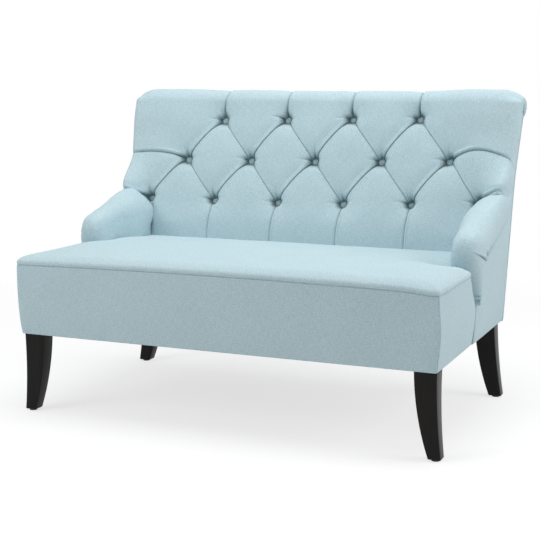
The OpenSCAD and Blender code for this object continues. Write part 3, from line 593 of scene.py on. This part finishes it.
def tufted_back():
    """The buttoned cover of the back with its roll: a flat sheet laid on rows and columns, then sunk."""
    front_rows, n0, t0, out_n, out_t, t_flat = back_rows()
    index = arange(len(n0))[:, None]
    front, in_neck = index < front_rows, index >= len(n0) - len(NECK)
    on_roll = smooth((t_flat - TOP_T) / 30) * (1 - in_neck)
    half = side_x(back_z(n0, t0))  # half width at each row
    x, inward, x_flat = back_columns(half, t_flat, in_neck)
    t_flat = np.broadcast_to(t_flat, x.shape)

    # Finer steps beside the diagonal folds: slide grid places towards the odd lattice lines
    window = smooth((FIELD_X - abs(x_flat)) / 90) * smooth((t_flat + 4) / 50) \
        * smooth((2 * STEP_T + 4 - t_flat) / 50)
    a, b = x_flat / STEP_X, t_flat / STEP_T
    dp, dq = sin(PI * (a + b)), sin(PI * (a - b))
    slide_x = window * (dp + dq) / 4 / PI * STEP_X
    slide_t = window * (dp - dq) / 4 / PI * STEP_T
    lx, lt = x_flat + slide_x, t_flat + slide_t
    depth, fine = fold_depth(lx, lt)
    drag_x, drag_t = pleat_shift(lx, lt)
    fade_in = clip(1 - inward / SIDE_IN, 0, 1)
    # Painted shade: how far the cloth is darkened in the pits and along the tight creases
    crease = clip(smooth((depth - 7) / 26) + 0.5 * smooth((fine - 0.6) / 5), 0, 1) * fade_in

    # The crown sinks towards the foot, where the pad goes into the crevice behind the seat
    foot = 1 - (1 - FOOT_SHARE) * exp(-(clip(lt - FOOT_T, 0, None) / 48) ** 1.5)
    depth = CROWN - (CROWN - depth) * foot - 5 * bump(abs(lx) - 470, 60) * smooth((-20 - lt) / 90) \
        + 15 * bump(abs(lx) - 547, 15, 1.6) * smooth((-6 - lt) / 40)
    # and towards the shoulders, where it passes behind the arms
    inset = half - abs(x)
    behind = smooth((ARM_W + 4 - inset) / 16) * smooth((-4 - lt) / 30)
    depth = np.maximum(depth, 17 * behind)
    # Below the row-1 pleats the rims come forward to meet the arms
    depth -= RIM_FORWARD * smooth((STEP_T - lt) / 110) * smooth((abs(lx) - 540) / 95) * (1 - behind)
    # The plain ends are fuller than the tufted middle
    depth -= 5 * smooth((abs(lx) - 330) / 150) * smooth((lt - 190) / 90) * smooth((TOP_T + 110 - lt) / 60)
    flat = stacked(lx, lt)
    depth -= (noise(flat, 260, 3) * 1.6 + noise(flat, 90, 4) * 0.7) * smooth((lt - FOOT_T) / 120)
    # The roll tapers at its ends, with gathers round them
    sunk = inward + fade_in * (depth + 17 * clip(1 - inset / 62, 0, 1) ** 2 * on_roll)
    gather = 1.6 * sin((lt - TOP_T) / ROLL_R * 9) * on_roll * smooth((inward - 8) / 30)
    nv = n0 - out_n * sunk
    tv = t0 - out_t * sunk + where(front, slide_t + drag_t * fade_in, 0)
    close = inward / SIDE_IN  # under the roll the ends close on its centre
    nv = where(in_neck, n0 + (ROLL_R - CROWN - n0) * close, nv)
    tv = where(in_neck, t0 + (TOP_T - t0) * close, tv)
    xv = x + slide_x * (inward < 1) + drag_x * fade_in + np.sign(x) * gather
    # Triangles whose diagonals follow the folds
    quads = grid_faces(*x.shape)
    a, b = ((v[:-1, :-1] + v[1:, 1:]).ravel() / 2 for v in (a, b))
    rising = abs((a - b) % 2 - 1) < abs((a + b) % 2 - 1)
    first = where(rising[:, None], quads[:, [0, 1, 2]], quads[:, [0, 1, 3]])
    second = where(rising[:, None], quads[:, [0, 2, 3]], quads[:, [1, 2, 3]])
    pad = piece("tufted_back_cover", stacked(xv, back_y(nv, tv), back_z(nv, tv)), joined(first, second),
        flat, crease)
    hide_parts("tufted_back_pad")


def buttons():
    """Cloth-covered shell buttons with a creased rim, each turned a little its own way."""
    rng = np.random.default_rng(5)
    rings, spokes = 12, 40
    turn = arange(spokes) / spokes * 2 * PI
    rho = BUTTON_R * sin(linspace(0.06, 1, rings) * PI / 2)[:, None]
    dx, dt = rho * cos(turn), rho * sin(turn)
    dome = BUTTON_RIM + BUTTON_DOME * np.sqrt(clip(1 - (rho / (BUTTON_R + 0.6)) ** 2, 0, 1))
    places, faces = [], []  # places are x, n and t
    for i, (a, b) in enumerate(BUTTONS):
        crease = 0.35 * sin(turn * 9 + rng.uniform(0, 6)) * (rho / BUTTON_R) ** 4
        tilt_x, tilt_t = rng.uniform(-0.05, 0.05, 2)
        grid = stacked(dx, dx * tilt_x + dt * tilt_t - dome - crease, dt)
        skirt = grid[-1:] * 0.98
        skirt[..., 1] = 1.0
        off_x, off_t = drift(a * STEP_X, b * STEP_T)
        hub = array([[a * STEP_X + off_x, 0, b * STEP_T + off_t]])
        places += [*(joined(grid, skirt) + hub), hub - [0, 9.3, 0]]
        base = i * ((rings + 1) * spokes + 1)
        hub_index = base + (rings + 1) * spokes
        k = arange(0, spokes, 2)
        faces.append(grid_faces(rings + 1, spokes, base, wrap=True))
        faces.append(stacked(0 * k + hub_index, base + k, base + k + 1, base + (k + 2) % spokes))
    x, n, t = joined(*places).T
    obj = piece("tufting_buttons", stacked(x, back_y(n, t), back_z(n, t)), joined(*faces),
        stacked(x, t), np.full(len(x), BUTTON_SHADE))
    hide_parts("back_buttons")


# Lines that the side pieces share, as points [y, z] of the side's plane
def arc(p, q, sag, steps):
    """Points of an arc from p to q that bows by sag to the left of the way from p to q."""
    p, q = array(p, float), array(q, float)
    half = norm(q - p) / 2
    r = (half * half + sag * sag) / (2 * abs(sag))
    way = (q - p) / (2 * half)
    bow = array([-way[1], way[0]]) * np.sign(sag)
    reach = np.arcsin(half / r)
    a = linspace(-reach, reach, steps + 1)[:, None]
    return (p + q) / 2 - bow * (r - abs(sag)) + r * (way * sin(a) + bow * cos(a))


def resample(points, step):
    points = np.asarray(points, float)
    run = run_length(points)
    at = linspace(0, run[-1], max(2, int(round(run[-1] / step)) + 1))
    return np.stack([interp(at, run, column) for column in points.T], -1)


def softened(points, times):
    points = points.copy()
    for _ in range(times):
        points[1:-1] = (points[:-2] + 2 * points[1:-1] + points[2:]) / 4
    return points


def through(marks, steps):
    """A smooth line through marks, with the same number of steps between each two."""
    marks = array(marks, float)
    ends = joined([2 * marks[0] - marks[1]], marks, [2 * marks[-1] - marks[-2]])
    u = linspace(0, 1, steps, endpoint=False)[:, None]
    parts = [0.5 * (2 * b + (c - a) * u + (2 * a - 5 * b + 4 * c - d) * u ** 2
        + (3 * b - a - 3 * c + d) * u ** 3) for a, b, c, d in zip(ends, ends[1:], ends[2:], ends[3:])]
    return joined(*parts, marks[-1:])


# The arm's outer seam and its ridge, from the corner of the seat's side up over the nose to the back: pairs
# [y, z] counted from the arm's front and the seat's seam
ARM_SEAM_MARKS = [(1, -88), (12, -54), (27, -20), (40, 6), (52, 22), (68, 33), (92, 42), (125, 50),
    (160, 59), (205, 73), (255, 91), (300, 111), (330, 138), (343.5, 170)]
ARM_RIDGE_MARKS = [(-1, -88), (-9, -50), (-26, -8), (-37, 24), (-43, 52), (-38, 81), (-18, 104), (38, 122),
    (95, 137), (152, 156), (207, 170), (252, 174), (298, 172), (345, 176)]
ARM_FULL_W = 94
ARM_STEPS = 24  # stations between two marks
ARM_SEAM = through(ARM_SEAM_MARKS, ARM_STEPS) + [ARM_FRONT_Y, SEAM_Z]
ARM_RIDGE = through(ARM_RIDGE_MARKS, ARM_STEPS) + [ARM_FRONT_Y, SEAM_Z]
# Pleats eased round the nose, and gathers at its foot: mark, lean, reach, depth and width
ARM_PLEATS = ((4.15, 0.10, 130, 8.5, 0.085), (5.2, 0.16, 70, 7.0, 0.075), (5.8, 0.12, 46, 5.0, 0.06),
    (6.5, 0.10, 66, 5.0, 0.06), (3.9, 0.04, 56, 3.6, 0.07), (7.3, 0.1, 40, 3.2, 0.055),
    (8.4, 0.08, 30, 2.4, 0.05), (0.3, 0.05, 60, 4.5, 0.07), (0.62, 0.08, 60, 4.5, 0.07))
KNEE_Z = ROW_Z + 91  # where the rear turns from its lean to the rake
KNEE_RUN = 60  # of the bend to either side of the knee
REAR_TOP_T = TOP_T - 12.3  # where the rear cover ends, below the roll
REAR_EDGE = 4.3  # from the rear cover in to the edges of the side covers


def rear_profile(depth):
    """The rear's outline, drawn in by a depth."""
    knee = array([plane_y(REAR_N, KNEE_Z) - depth, KNEE_Z])
    low = knee - KNEE_RUN * array([sin(REAR_LEAN), cos(REAR_LEAN)])
    high = knee + KNEE_RUN * array([SIN, COS])
    foot = [knee[0] - (KNEE_Z - BOX_Z) * np.tan(REAR_LEAN), BOX_Z]
    n = REAR_N - depth * COS
    return joined([foot], arc(low, high, 4, 12), [[back_y(n, REAR_TOP_T), back_z(n, REAR_TOP_T)]])


def on_side(sign, inset, y, z):
    """Points from their inset behind a side's outer face."""
    return stacked(sign * (side_x(z) - inset), y, z)


def arm(sign):
    """One sewn cover over an arm: sections across it, at stations from the nose's foot to the back."""
    left = sign < 0
    seam, ridge = ARM_SEAM[:, None], ARM_RIDGE[:, None].copy()
    n = len(ARM_SEAM)
    mark = arange(n)[:, None] / ARM_STEPS
    # Towards the back the left arm lies a little lower, and the right one higher
    ridge[..., 1] += -5 * smooth((mark - 7) / 3) if left else 21 * smooth((mark - 9.6) / 2.6)
    rear_share = smooth((mark - 6.5) / 4)
    fall_off = norm(seam - ridge, axis=-1)
    end = smooth((mark - 10.5) / 2)[..., None]  # at the back the sections stand nearly upright
    drop = (seam - ridge) / fall_off[..., None] * (1 - end) + array([-0.2, -0.98]) * end

    # Each section goes from the seam over the ridge to the shoulder, then down the inside to the seat
    a = PI / 2 * (0.5 - 0.5 * cos(linspace(0, PI, 22)))[None, :]
    bend = linspace(0, PI / 2, 24)[None, 1:]
    down = linspace(0, 1, 20)[None, 1:]
    boxy = 0.60 + 0.12 * smooth((mark - 5) / 3)
    rise = sin(a) ** boxy
    box = 0.88 + (0.34 * smooth((mark - 9) / 4) if left else -0.28 * bump(mark - 9.5, 2.2, 4))
    depth = minimum(52 + 44 * rear_share, 0.92 * fall_off + 90 * rear_share)
    shoulder = ridge + drop * depth[..., None]
    share = clip((mark - 3) / (len(ARM_SEAM_MARKS) - 4), 0, 1)
    foot_y = ARM_FRONT_Y + 14 + share * (plane_y(-20, SEAM_Z) - ARM_FRONT_Y - 14)
    foot = stacked(foot_y, minimum(SEAM_Z - 4, shoulder[..., 1] - 6))
    place = joined(np.repeat(seam, 2, 1), seam + (ridge - seam) * rise[..., None],
        ridge + (shoulder - ridge) * (1 - cos(bend) ** box)[..., None],
        shoulder + (foot - shoulder) * down[..., None], axis=1)

    # How far each place lies inward of the side's outer face
    ridge_in = 44 - 25 * rear_share
    outer_in = ridge_in * (1 - cos(a) ** boxy)
    fatness = 11.5 - 4 * smooth((mark - 7) / 3) - (0 if left else 4) * smooth(mark - 12)
    swell = fatness * (1 - (1 - rise) ** 7) * (1 - rise ** 3)
    narrowed = smooth((mark - 10.6) / 1.6)
    full_w = ARM_FULL_W - 10 * smooth((mark - 9.5) / 3) - (24 if left else 4) * narrowed
    inner_in = sin(bend) ** box
    width = ridge_in + (full_w - ridge_in) * inner_in * (0.70 + 0.30 * smooth((mark - 5.8) / 3.8))
    if not left:
        width += 6 * bump(mark - 9.5, 2) * inner_in
    low = width[:, -1:] - 7 * down ** 1.6 + 2.5 * sin(PI * down)
    if left:
        low += narrowed * (18 * smooth(down * 2.5) + 16 * down)
    inset = joined(0 * mark + 9, 0 * mark + 3.4, outer_in + 1.6 * (1 - rise) ** 9 - swell, width, low, axis=1)
    pts = on_side(sign, inset, place[..., 0], place[..., 1])
    across = run_length(pts)
    along = run_length(np.swapaxes(pts, 0, 1)).T[:, a.size + 1][:, None]
    normal = unit(np.cross(*np.gradient(pts, axis=(0, 1)))) * sign
    if normal[n // 2, a.size, 2] < 0:
        normal = -normal
    dent = 0 * across
    for at, lean, reach, deep, wide in ARM_PLEATS:
        off = mark - at - lean * across / 60
        fade = smooth((reach - across) / (0.7 * reach)) * smooth((across - 2) / 6)
        dent += deep * fade * (bump(off, wide, 1.4) - 0.5 * bump(off - 2.2 * wide, 1.6 * wide))
    flat = stacked(along + 0 * across, across)
    wobble = (noise(flat, 90, 11 + sign) * 1.1 + noise(flat, 34, 13 + sign) * 0.3) * smooth((across - 6) / 20)
    hand = HANDS[sign]
    # Its last argument is painted shade, darker in the pleats and along the seam
    obj = piece(hand + "_arm_cover", pts + normal * (wobble - dent)[..., None],
        grid_faces(*across.shape, flip=sign > 0), flat,
        clip(0.8 * smooth(dent / 6) + 0.7 * exp(-across / 3.5), 0, 1))
    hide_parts(hand + "_arm_roll", hand + "_arm_pad")


def seam_sink(d):
    """How far cloth is drawn in at a distance d from a seam."""
    return 3.6 * exp(-d / 2.4) + 1.8 * exp(-d / 11)


def away_from(points, line):
    """Distance of points from a line of points."""
    best = np.full(points.shape[:-1], 1e9)
    for p, q in zip(line[:-1], line[1:]):
        u = clip(((points - p) @ (q - p)) / max((q - p) @ (q - p), 1e-9), 0, 1)
        best = minimum(best, norm(points - p - u[..., None] * (q - p), axis=-1))
    return best


def outer_cover(sign):
    """The cover of a side, with its edges turned in."""
    top_t, tuck = TOP_T + 6, 7  # the cover's top is tucked in under the roll's end
    n = REAR_N - 4.1
    rear = joined(resample(rear_profile(REAR_EDGE), 6), [[back_y(n, top_t), back_z(n, top_t)]])
    front = resample(joined([[ARM_FRONT_Y + 0.6, BOX_Z]], ARM_SEAM,
        [[back_y(4.3, top_t), back_z(4.3, top_t)]]), 4)
    share = linspace(0, 1, 190)
    ends = []
    for line in (front, rear):
        run = run_length(line)
        ends.append(np.stack([interp(share * run[-1], run, column) for column in line.T], -1)[:, None])
    across = (0.5 - 0.5 * cos(linspace(0, PI, 84)))[None, :, None]
    plane = ends[0] * (1 - across) + ends[1] * across
    edge = minimum(away_from(plane, front), away_from(plane, rear))
    up = plane[..., 1] - BOX_Z
    wave = noise(plane, 220, 21 + sign) + noise(plane, 70, 23 + sign) * 0.35
    t = (plane[..., 1] - ROW_Z) * COS + (plane[..., 0] - ROW_Y) * SIN
    inset = seam_sink(edge) * (0.6 + 0.4 * smooth((up - 150) / 60)) + 2.4 * exp(-up / 16) \
        - (3.0 + wave) * smooth(edge / 60) * smooth(up / 60) + 9 * smooth((t - TOP_T + 14) / 14)
    grid = joined(inset[..., None], plane, axis=-1)
    grid = joined(grid[:, :1] + [tuck, 0, 0], grid, grid[:, -1:] + [tuck, 0, 0], axis=1)
    hem = np.repeat(grid[:1], 3, 0)
    hem[..., 0] += array([22, 6, 2.0])[:, None]
    hem[..., 2] = BOX_Z + array([0, 0, -0.4])[:, None]
    grid[0, :, 2] += 1.2
    grid = joined(hem, grid)
    # Its last argument is painted shade along the seam with the arm's cover
    obj = piece(HANDS[sign] + "_outside_cover", on_side(sign, *np.moveaxis(grid, -1, 0)),
        grid_faces(*grid.shape[:2], flip=sign < 0), grid[..., 1:],
        0.5 * exp(-away_from(grid[..., 1:], front) / 2.5))
    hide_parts(HANDS[sign] + "_outer_cover")


# A border's upright corner: columns from its seam round to the flat, and how far each is sunk at the seam
CORNER_R = 10
CORNER_TURN = radians(joined([45, 45, 47, 50, 54, 60], linspace(66, 90, 6)))
CORNER_SINK = 0.55 * seam_sink(CORNER_R * (CORNER_TURN - CORNER_TURN[0]))
CORNER_SINK[0] += 8
SIDE_SET, REAR_SET = 120, 62  # where the seat's puffed rear corners leave its sides and reach their ends
REAR_WELT = ((10.0, 5.2), (4.5, 4.6), (2.0, 3.6), (1.0, 2.2), (2.0, 0.9), (6.0, 0.1))  # inset and rise


def corner_columns(turn):
    """Columns as their set-back from both faces, their way out and their sink."""
    cx, cy = cos(turn), sin(turn)
    return CORNER_R * (1 - cx), CORNER_R * (1 - cy), cx, cy, CORNER_SINK


def box_rows():
    """Rows of the seat's borders: height, how far behind the fullest one, and how loose."""
    z = joined([BOX_Z, BOX_Z, BOX_Z + 0.2, BOX_Z + 1.4], arange(BOX_Z + 4, SEAM_Z - 12, 4),
        SEAM_Z - array([10, 7, 4.5, 2.6, 1.2, 0.4, 0.4]))
    u = (z - BOX_Z) / BOX_H
    loose = hill(u)
    back = 6 - 6 * loose ** 0.8
    back = where(u > 0.5, back * 0.45, back) + 1.7 * exp(-(SEAM_Z - z) / 1.8)
    back[:3] = (24, 10, 7.4)
    back[-1] += 8
    return z[:, None], back[:, None], loose[:, None]


def settled(points):
    """The box's settled front: its seam bows up, its left corner bulges, its right one is drawn in."""
    points = points.copy()
    x, y, z = np.moveaxis(points, -1, 0)
    across = bump(abs(x) - SEAT_HALF, 70) * bump(y - FRONT_Y, 80)
    left = (x < 0) * across * smooth((z - BOX_Z + 110) / 150)
    right = (x > 0) * across * smooth((z - SEAM_Z + 110) / 110)
    x -= 7 * left + 9 * right
    y += 2 * right
    crowned = clip(1 - (x / SEAT_HALF) ** 2, 0, 1) * bump(y - FRONT_Y, 150) * smooth((z - BOX_Z) / BOX_H)
    z += 6.5 * crowned - 6 * right
    return points


def front_border():
    """The border in front, from one rounded corner to the other."""
    z, back, loose = box_rows()
    inset, set_back, cx, cy, sink = corner_columns(CORNER_TURN)
    push = back + sink
    side = stacked(side_x(z) - inset - push * cx, FRONT_Y + set_back + push * cy, z + 0 * push)
    x = linspace(-1, 1, 170)[1:-1] * (side_x(z) - CORNER_R)
    flat = stacked(x, z + 0 * x)
    wave = (noise(flat, 300, 31) * 1.2 + noise(flat, 90, 32) * 0.4) \
        * smooth((side_x(SEAM_Z) - abs(x)) / 80) * loose
    mid = stacked(x, FRONT_Y + back - wave, flat[..., 1])
    grid = settled(joined(side * [-1, 1, 1], mid, side[:, ::-1], axis=1))
    obj = piece("front_border_cover", grid, grid_faces(*grid.shape[:2]),
        stacked(grid[..., 0] + 0.4 * grid[..., 1], grid[..., 2]))
    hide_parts("seat_front_border")


def side_border(sign):
    """A side's border, from the rounded corner to its end under the arm's nose."""
    z, back, loose = box_rows()
    length = ARM_SET_BACK + 1.4
    flat_y = CORNER_R + (length - CORNER_R) * (1 - (1 - linspace(0, 1, 90)[1:]) ** 1.5)
    tail = seam_sink(length - flat_y)
    rest = np.stack([0 * flat_y, flat_y, 0 * flat_y + 1, 0 * flat_y, tail])
    corner = np.stack(corner_columns(PI / 2 - CORNER_TURN))  # the same columns, seen from the side
    inset, set_back, cx, cy, sink = joined(corner, rest, rest[:, -1:] + [[0], [0], [0], [0], [8]], axis=1)
    h = z + 0 * inset
    y = FRONT_Y + set_back + 0 * h
    wave = noise(stacked(y, h), 160, 51 + sign) * 1.1 * loose * smooth((set_back - 20) / 60)
    push = back + sink - wave
    # Towards the rear end the side is drawn in, more so near the top
    u = 1 - np.sqrt(clip((ARM_FRONT_Y - y) / SIDE_SET, 0.004, 1))
    total = inset + push * cx + REAR_SET * u * u * clip((h - SEAM_Z + 100) / 100, 0, 1) ** 1.5
    obj = piece(HANDS[sign] + "_side_border_cover", settled(on_side(sign, total, y + push * cy, h)),
        grid_faces(*h.shape, flip=sign < 0), stacked(y, h))
    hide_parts(HANDS[sign] + "_seat_border")


def back_cover():
    """The rear's panel, stretched flat between ends that stand out to their seams like a welt."""
    rows = softened(resample(rear_profile(0), 6), 6)
    hem = [[rows[0, 0] - 22, BOX_Z], [rows[0, 0] - 5, BOX_Z], [rows[0, 0] - 1.5, BOX_Z + 0.7]]
    rows = joined(hem, rows[1:])
    way = unit(np.gradient(rows, axis=0))
    inward = stacked(-way[:, 1], way[:, 0])[:, :, None]
    inward[:3] = inward[3]
    half = side_x(rows[:, 1])[:, None]
    welt, rise = array(REAR_WELT).T
    x = linspace(-1, 1, 150) * (half - welt[-1] - 4)
    x = joined(welt - half, x, (half - welt)[:, ::-1], axis=1)
    rise = joined(rise, np.zeros(150), rise[::-1])
    run = run_length(rows)[:, None]
    hollow = hill(run / run[-1])
    flat = stacked(x, run + 0 * x)
    wave = noise(flat, 300, 37) * 1.1 + noise(flat, 80, 38) * 0.35
    sunk = (3 * hollow + wave * hollow ** 0.5) * smooth((half - abs(x)) / 40) - rise
    y, z = rows[:, :1] + inward[:, 0] * sunk, rows[:, 1:] + inward[:, 1] * sunk
    obj = piece("outside_back_panel", stacked(x, y, z), grid_faces(*x.shape, flip=True), flat)
    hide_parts("outside_back_cover")


def rounded_outline(corners):
    """A closed outline through corners (x, y, set-back before, set-back after), counter-clockwise."""
    here, set_back = np.split(array(corners, float)[:, None], 2, -1)
    ends = [here + unit(roll(here, turn, 0) - here) * set_back[..., k, None] for k, turn in ((0, 1), (1, -1))]
    u = linspace(0, 1, 15)[:, None]
    pts = ((1 - u) ** 2 * ends[0] + 2 * u * (1 - u) * here + u * u * ends[1]).reshape(-1, 2)
    return resample(joined(pts, pts[:1]), 5)[:-1]


def ring_faces(upper, lower):
    """Triangles between two rings of points."""
    upper_next, lower_next = roll(upper, -1), roll(lower, -1)
    return joined(stacked(upper, lower, lower_next), stacked(upper, lower_next, upper_next))


SEAT_FULL = 29  # from the seam up to the top of the seat's edge
EDGE_IN = 8  # from the fullest line of the borders in to the outline of the top
SEAT_CELL = 7.0  # of the lattice of its points
# How the edge rolls over to the seam: places as their distance outside the outline and share of the height
EDGE_ROLL = ((1.8, 0.92), (3.6, 0.80), (5.0, 0.65), (5.9, 0.48), (6.1, 0.32), (5.7, 0.17), (4.9, 0.06),
    (3.6, 0.01), (-6, -0.02))


def seat_top():
    """The seat's cover, and the foam below in the same shape."""
    wide, narrow = side_x(SEAM_Z) - EDGE_IN, side_x(SEAM_Z) - ARM_W - 1
    front, step_y, rear = FRONT_Y + EDGE_IN, ARM_FRONT_Y - 2, SEAT_REAR_Y - 8
    half = [(wide, front, CORNER_R, CORNER_R), (wide, step_y, SIDE_SET, REAR_SET), (narrow, step_y, 8, 8),
        (narrow, rear, 14, 14)]
    outline = rounded_outline(half + [(-x, y, b, a) for x, y, a, b in half[::-1]])
    count = len(outline)
    way = unit(roll(outline, -1, 0) - roll(outline, 1, 0))
    inward = stacked(-way[:, 1], way[:, 0])
    closed = joined(outline, outline[:1])
    crevice = array([(narrow, step_y), (narrow, rear), (-narrow, rear), (-narrow, step_y)], float)

    # In plan: the outline, rings inside it and a staggered lattice, joined by triangles
    rings = [outline]
    for d in (1.5, 3.5, 6, 10, 15):
        ring = outline + inward * d
        rings.append(ring[away_from(ring, closed) > d * 0.93])
    cells = np.stack(np.meshgrid(arange(-wide, wide, SEAT_CELL), arange(front, rear, SEAT_CELL)), -1)
    cells[1::2, :, 0] += SEAT_CELL / 2
    cells = cells.reshape(-1, 2)
    x, y = abs(cells[:, 0]), cells[:, 1]
    cells = cells[(x < narrow) | ((y < step_y) & (x < wide))]
    plan = joined(*rings, cells[away_from(cells, closed) > 19])
    made = delaunay_2d_cdt([Vector(v) for v in plan], [(k, (k + 1) % count) for k in range(count)],
        [list(range(count))], 1, 1e-3)
    plan = array([tuple(v) for v in made[0]])
    tris = array([f for f in made[2] if len(f) == 3])
    total = len(plan)

    def level(flat):
        """Full at the open edges, pressed down beside the arms and falling into the crevices."""
        x, y = flat.T
        edge = away_from(flat, closed)
        notch = np.hypot(clip(narrow + 4 - abs(x), 0, None), step_y - minimum(y, step_y))
        low, reach = where(x > 0, 0.26, 0.88), where(x > 0, 124, 80)  # used more at its right
        press = low + (1 - low) * sin(PI / 2 * clip(notch / reach, 0, 1)) ** 0.9
        press = where(y > step_y, np.maximum(press, low + (1 - low) * smooth((y - step_y) / 50)), press)
        body = SEAT_FULL + 4 * smooth(edge / 160) - 9 * smooth((y - 20) / 170)
        fall = 0.44 - 0.22 * smooth((y - step_y + 110) / 60) * smooth((600 - abs(x)) / 60) * (x < 0)
        z = body * press * (1 - fall * (1 - clip(edge / 40, 0, 1)) ** 2.3) \
            + 8 * bump(x + 520, 70) * bump(y - step_y - 10, 90)
        sunk = exp(-(away_from(flat, crevice) / 15) ** 1.3) * smooth((y - step_y + 30) / 40)
        return z - where(y > rear - 20, 7, 1) * sunk

    wave = (noise(plan, 330, 61) * 1.6 + noise(plan, 110, 62) * 0.6) * smooth(away_from(plan, closed) / 60)
    rows = [np.column_stack([plan, SEAM_Z + level(plan) + wave])]
    x, y = abs(outline[:, 0]), outline[:, 1]
    open_share = smooth((step_y + 30 - y) / 30) * smooth((x - narrow - 6) / 30)
    open_share = where(y < step_y - 90, 1.0, open_share)[:, None]
    for out, share in EDGE_ROLL:
        rows.append(np.column_stack([outline - inward * out * open_share, SEAM_Z + level(outline) * share]))
    pts = settled(joined(*rows))
    ids = {tuple(np.round(v, 2)): k for k, v in enumerate(plan)}
    rim = array([ids[tuple(np.round(v, 2))] for v in outline])
    loops = [rim] + [total + j * count + arange(count) for j in range(len(EDGE_ROLL))]
    p, q = plan[tris[:, 1]] - plan[tris[:, 0]], plan[tris[:, 2]] - plan[tris[:, 0]]
    down = p[:, 0] * q[:, 1] < p[:, 1] * q[:, 0]
    tris[down] = tris[down][:, ::-1]
    obj = piece("seat_cushion_top", pts,
        joined(tris, *(ring_faces(*pair) for pair in zip(loops, loops[1:]))),
        stacked(pts[:, 0], pts[:, 1] + pts[:, 2] - SEAM_Z))
    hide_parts("seat_top_cover")

    top = pts[:total]
    foam_z = box_mm("seat_foam")[0][2]
    core = joined(top - [0, 0, 5], top * [1, 1, 0] + [0, 0, foam_z])
    for low_rim in (rim, rim + total):
        core[low_rim, :2] += inward * 5
    core[rim, 2] -= 4
    slab = piece("seat_foam_slab", core,
        joined(tris, tris[:, ::-1] + total, ring_faces(rim, rim + total)), slot="seat_foam")
    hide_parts("seat_foam")


def dust_sheet():
    """The cloth under the seat, which sags a little."""
    low, high = box_mm("dust_cover")
    u, v = np.meshgrid(linspace(0, 1, 90), linspace(0, 1, 56))
    flat = low[:2] + stacked(u, v) * (high - low)[:2]
    loose = hill(u) * hill(v)
    z = low[2] + 0.9 - 3.5 * loose ** 0.6 + noise(flat, 120, 71) * 0.6 * loose
    obj = piece("dust_sheet", joined(flat, z[..., None], axis=-1), grid_faces(*u.shape, flip=True), flat,
        slot="black_dust_cloth")
    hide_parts("dust_cover")


LEG_SIZES = {"front": (608, 620, 34), "rear": (599, 624, 38)}  # outer side at the top and foot, foot's width
LEG_TOP_W = 60
LEG_DEPTHS = (36, 54)  # front to back, at its foot and its top
LEG_ROUND = 3  # of its edges


def leg(sign, end):
    """A tapered leg of rounded-square rings between two bowed sides, with a softened foot."""
    name = f"{end}_{HANDS[sign]}_leg"
    low, high = box_mm(name)
    top_x, foot_x, foot_w = LEG_SIZES[end]
    outer = resample(arc((top_x, high[2]), (foot_x, low[2]), -4, 40), 5)[::-1]
    inner = resample(arc((foot_x - foot_w, low[2]), (top_x - LEG_TOP_W, high[2]), 9, 40), 5)
    z = joined(low[2] + array([0, 0.7, 2.0]), linspace(low[2], high[2], 46)[1:])
    shrink = np.zeros(len(z))
    shrink[:2] = (2.2, 0.8)
    x_out, x_in = (interp(z, line[:, 1], line[:, 0]) for line in (outer, inner))
    mid = stacked((x_in + x_out) / 2, 0 * z + (low[1] + high[1]) / 2 + 3)[:, None]
    half = stacked((x_out - x_in) / 2, interp(z, [low[2], high[2]], LEG_DEPTHS) / 2)[:, None]
    half -= shrink[:, None, None] + LEG_ROUND
    turn = radians(arange(0, 360, 90)[:, None] + linspace(0, 90, 5)).ravel()
    corner = np.repeat([(1, 1), (-1, 1), (-1, -1), (1, -1)], 5, 0)
    ring = mid + corner * half + stacked(cos(turn), sin(turn)) * LEG_ROUND
    pts = joined(ring * [sign, 1], np.repeat(z[:, None, None], len(turn), 1), axis=-1)
    faces = grid_faces(len(z), len(turn), wrap=True, flip=sign < 0)
    k = arange(len(turn))
    foot = stacked(roll(k, -1), k, 0 * k + len(z) * len(k))
    last = (len(z) - 1) * len(k)
    top = stacked(last + k, last + roll(k, -1), 0 * k + len(z) * len(k) + 1)
    obj = piece(name + "_turned", joined(pts.reshape(-1, 3), pts[[0, -1]].mean(1)),
        joined(faces[:, [0, 1, 2]], faces[:, [0, 2, 3]], foot[:, ::sign], top[:, ::sign]),
        slot="espresso_legs")
    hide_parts(name)


tufted_back()
buttons()
for make in (arm, outer_cover):
    for sign in HANDS:
        make(sign)
front_border()
back_cover()
for sign in HANDS:
    side_border(sign)
seat_top()
dust_sheet()
for sign in HANDS:
    for end in LEG_SIZES:
        leg(sign, end)

for part in frame["record"]["subparts"]:
    obj = frame["nodes"][part["node"]]
    obj.data.materials.clear()
    obj.data.materials.append(MATERIALS[part["material_slot"]])
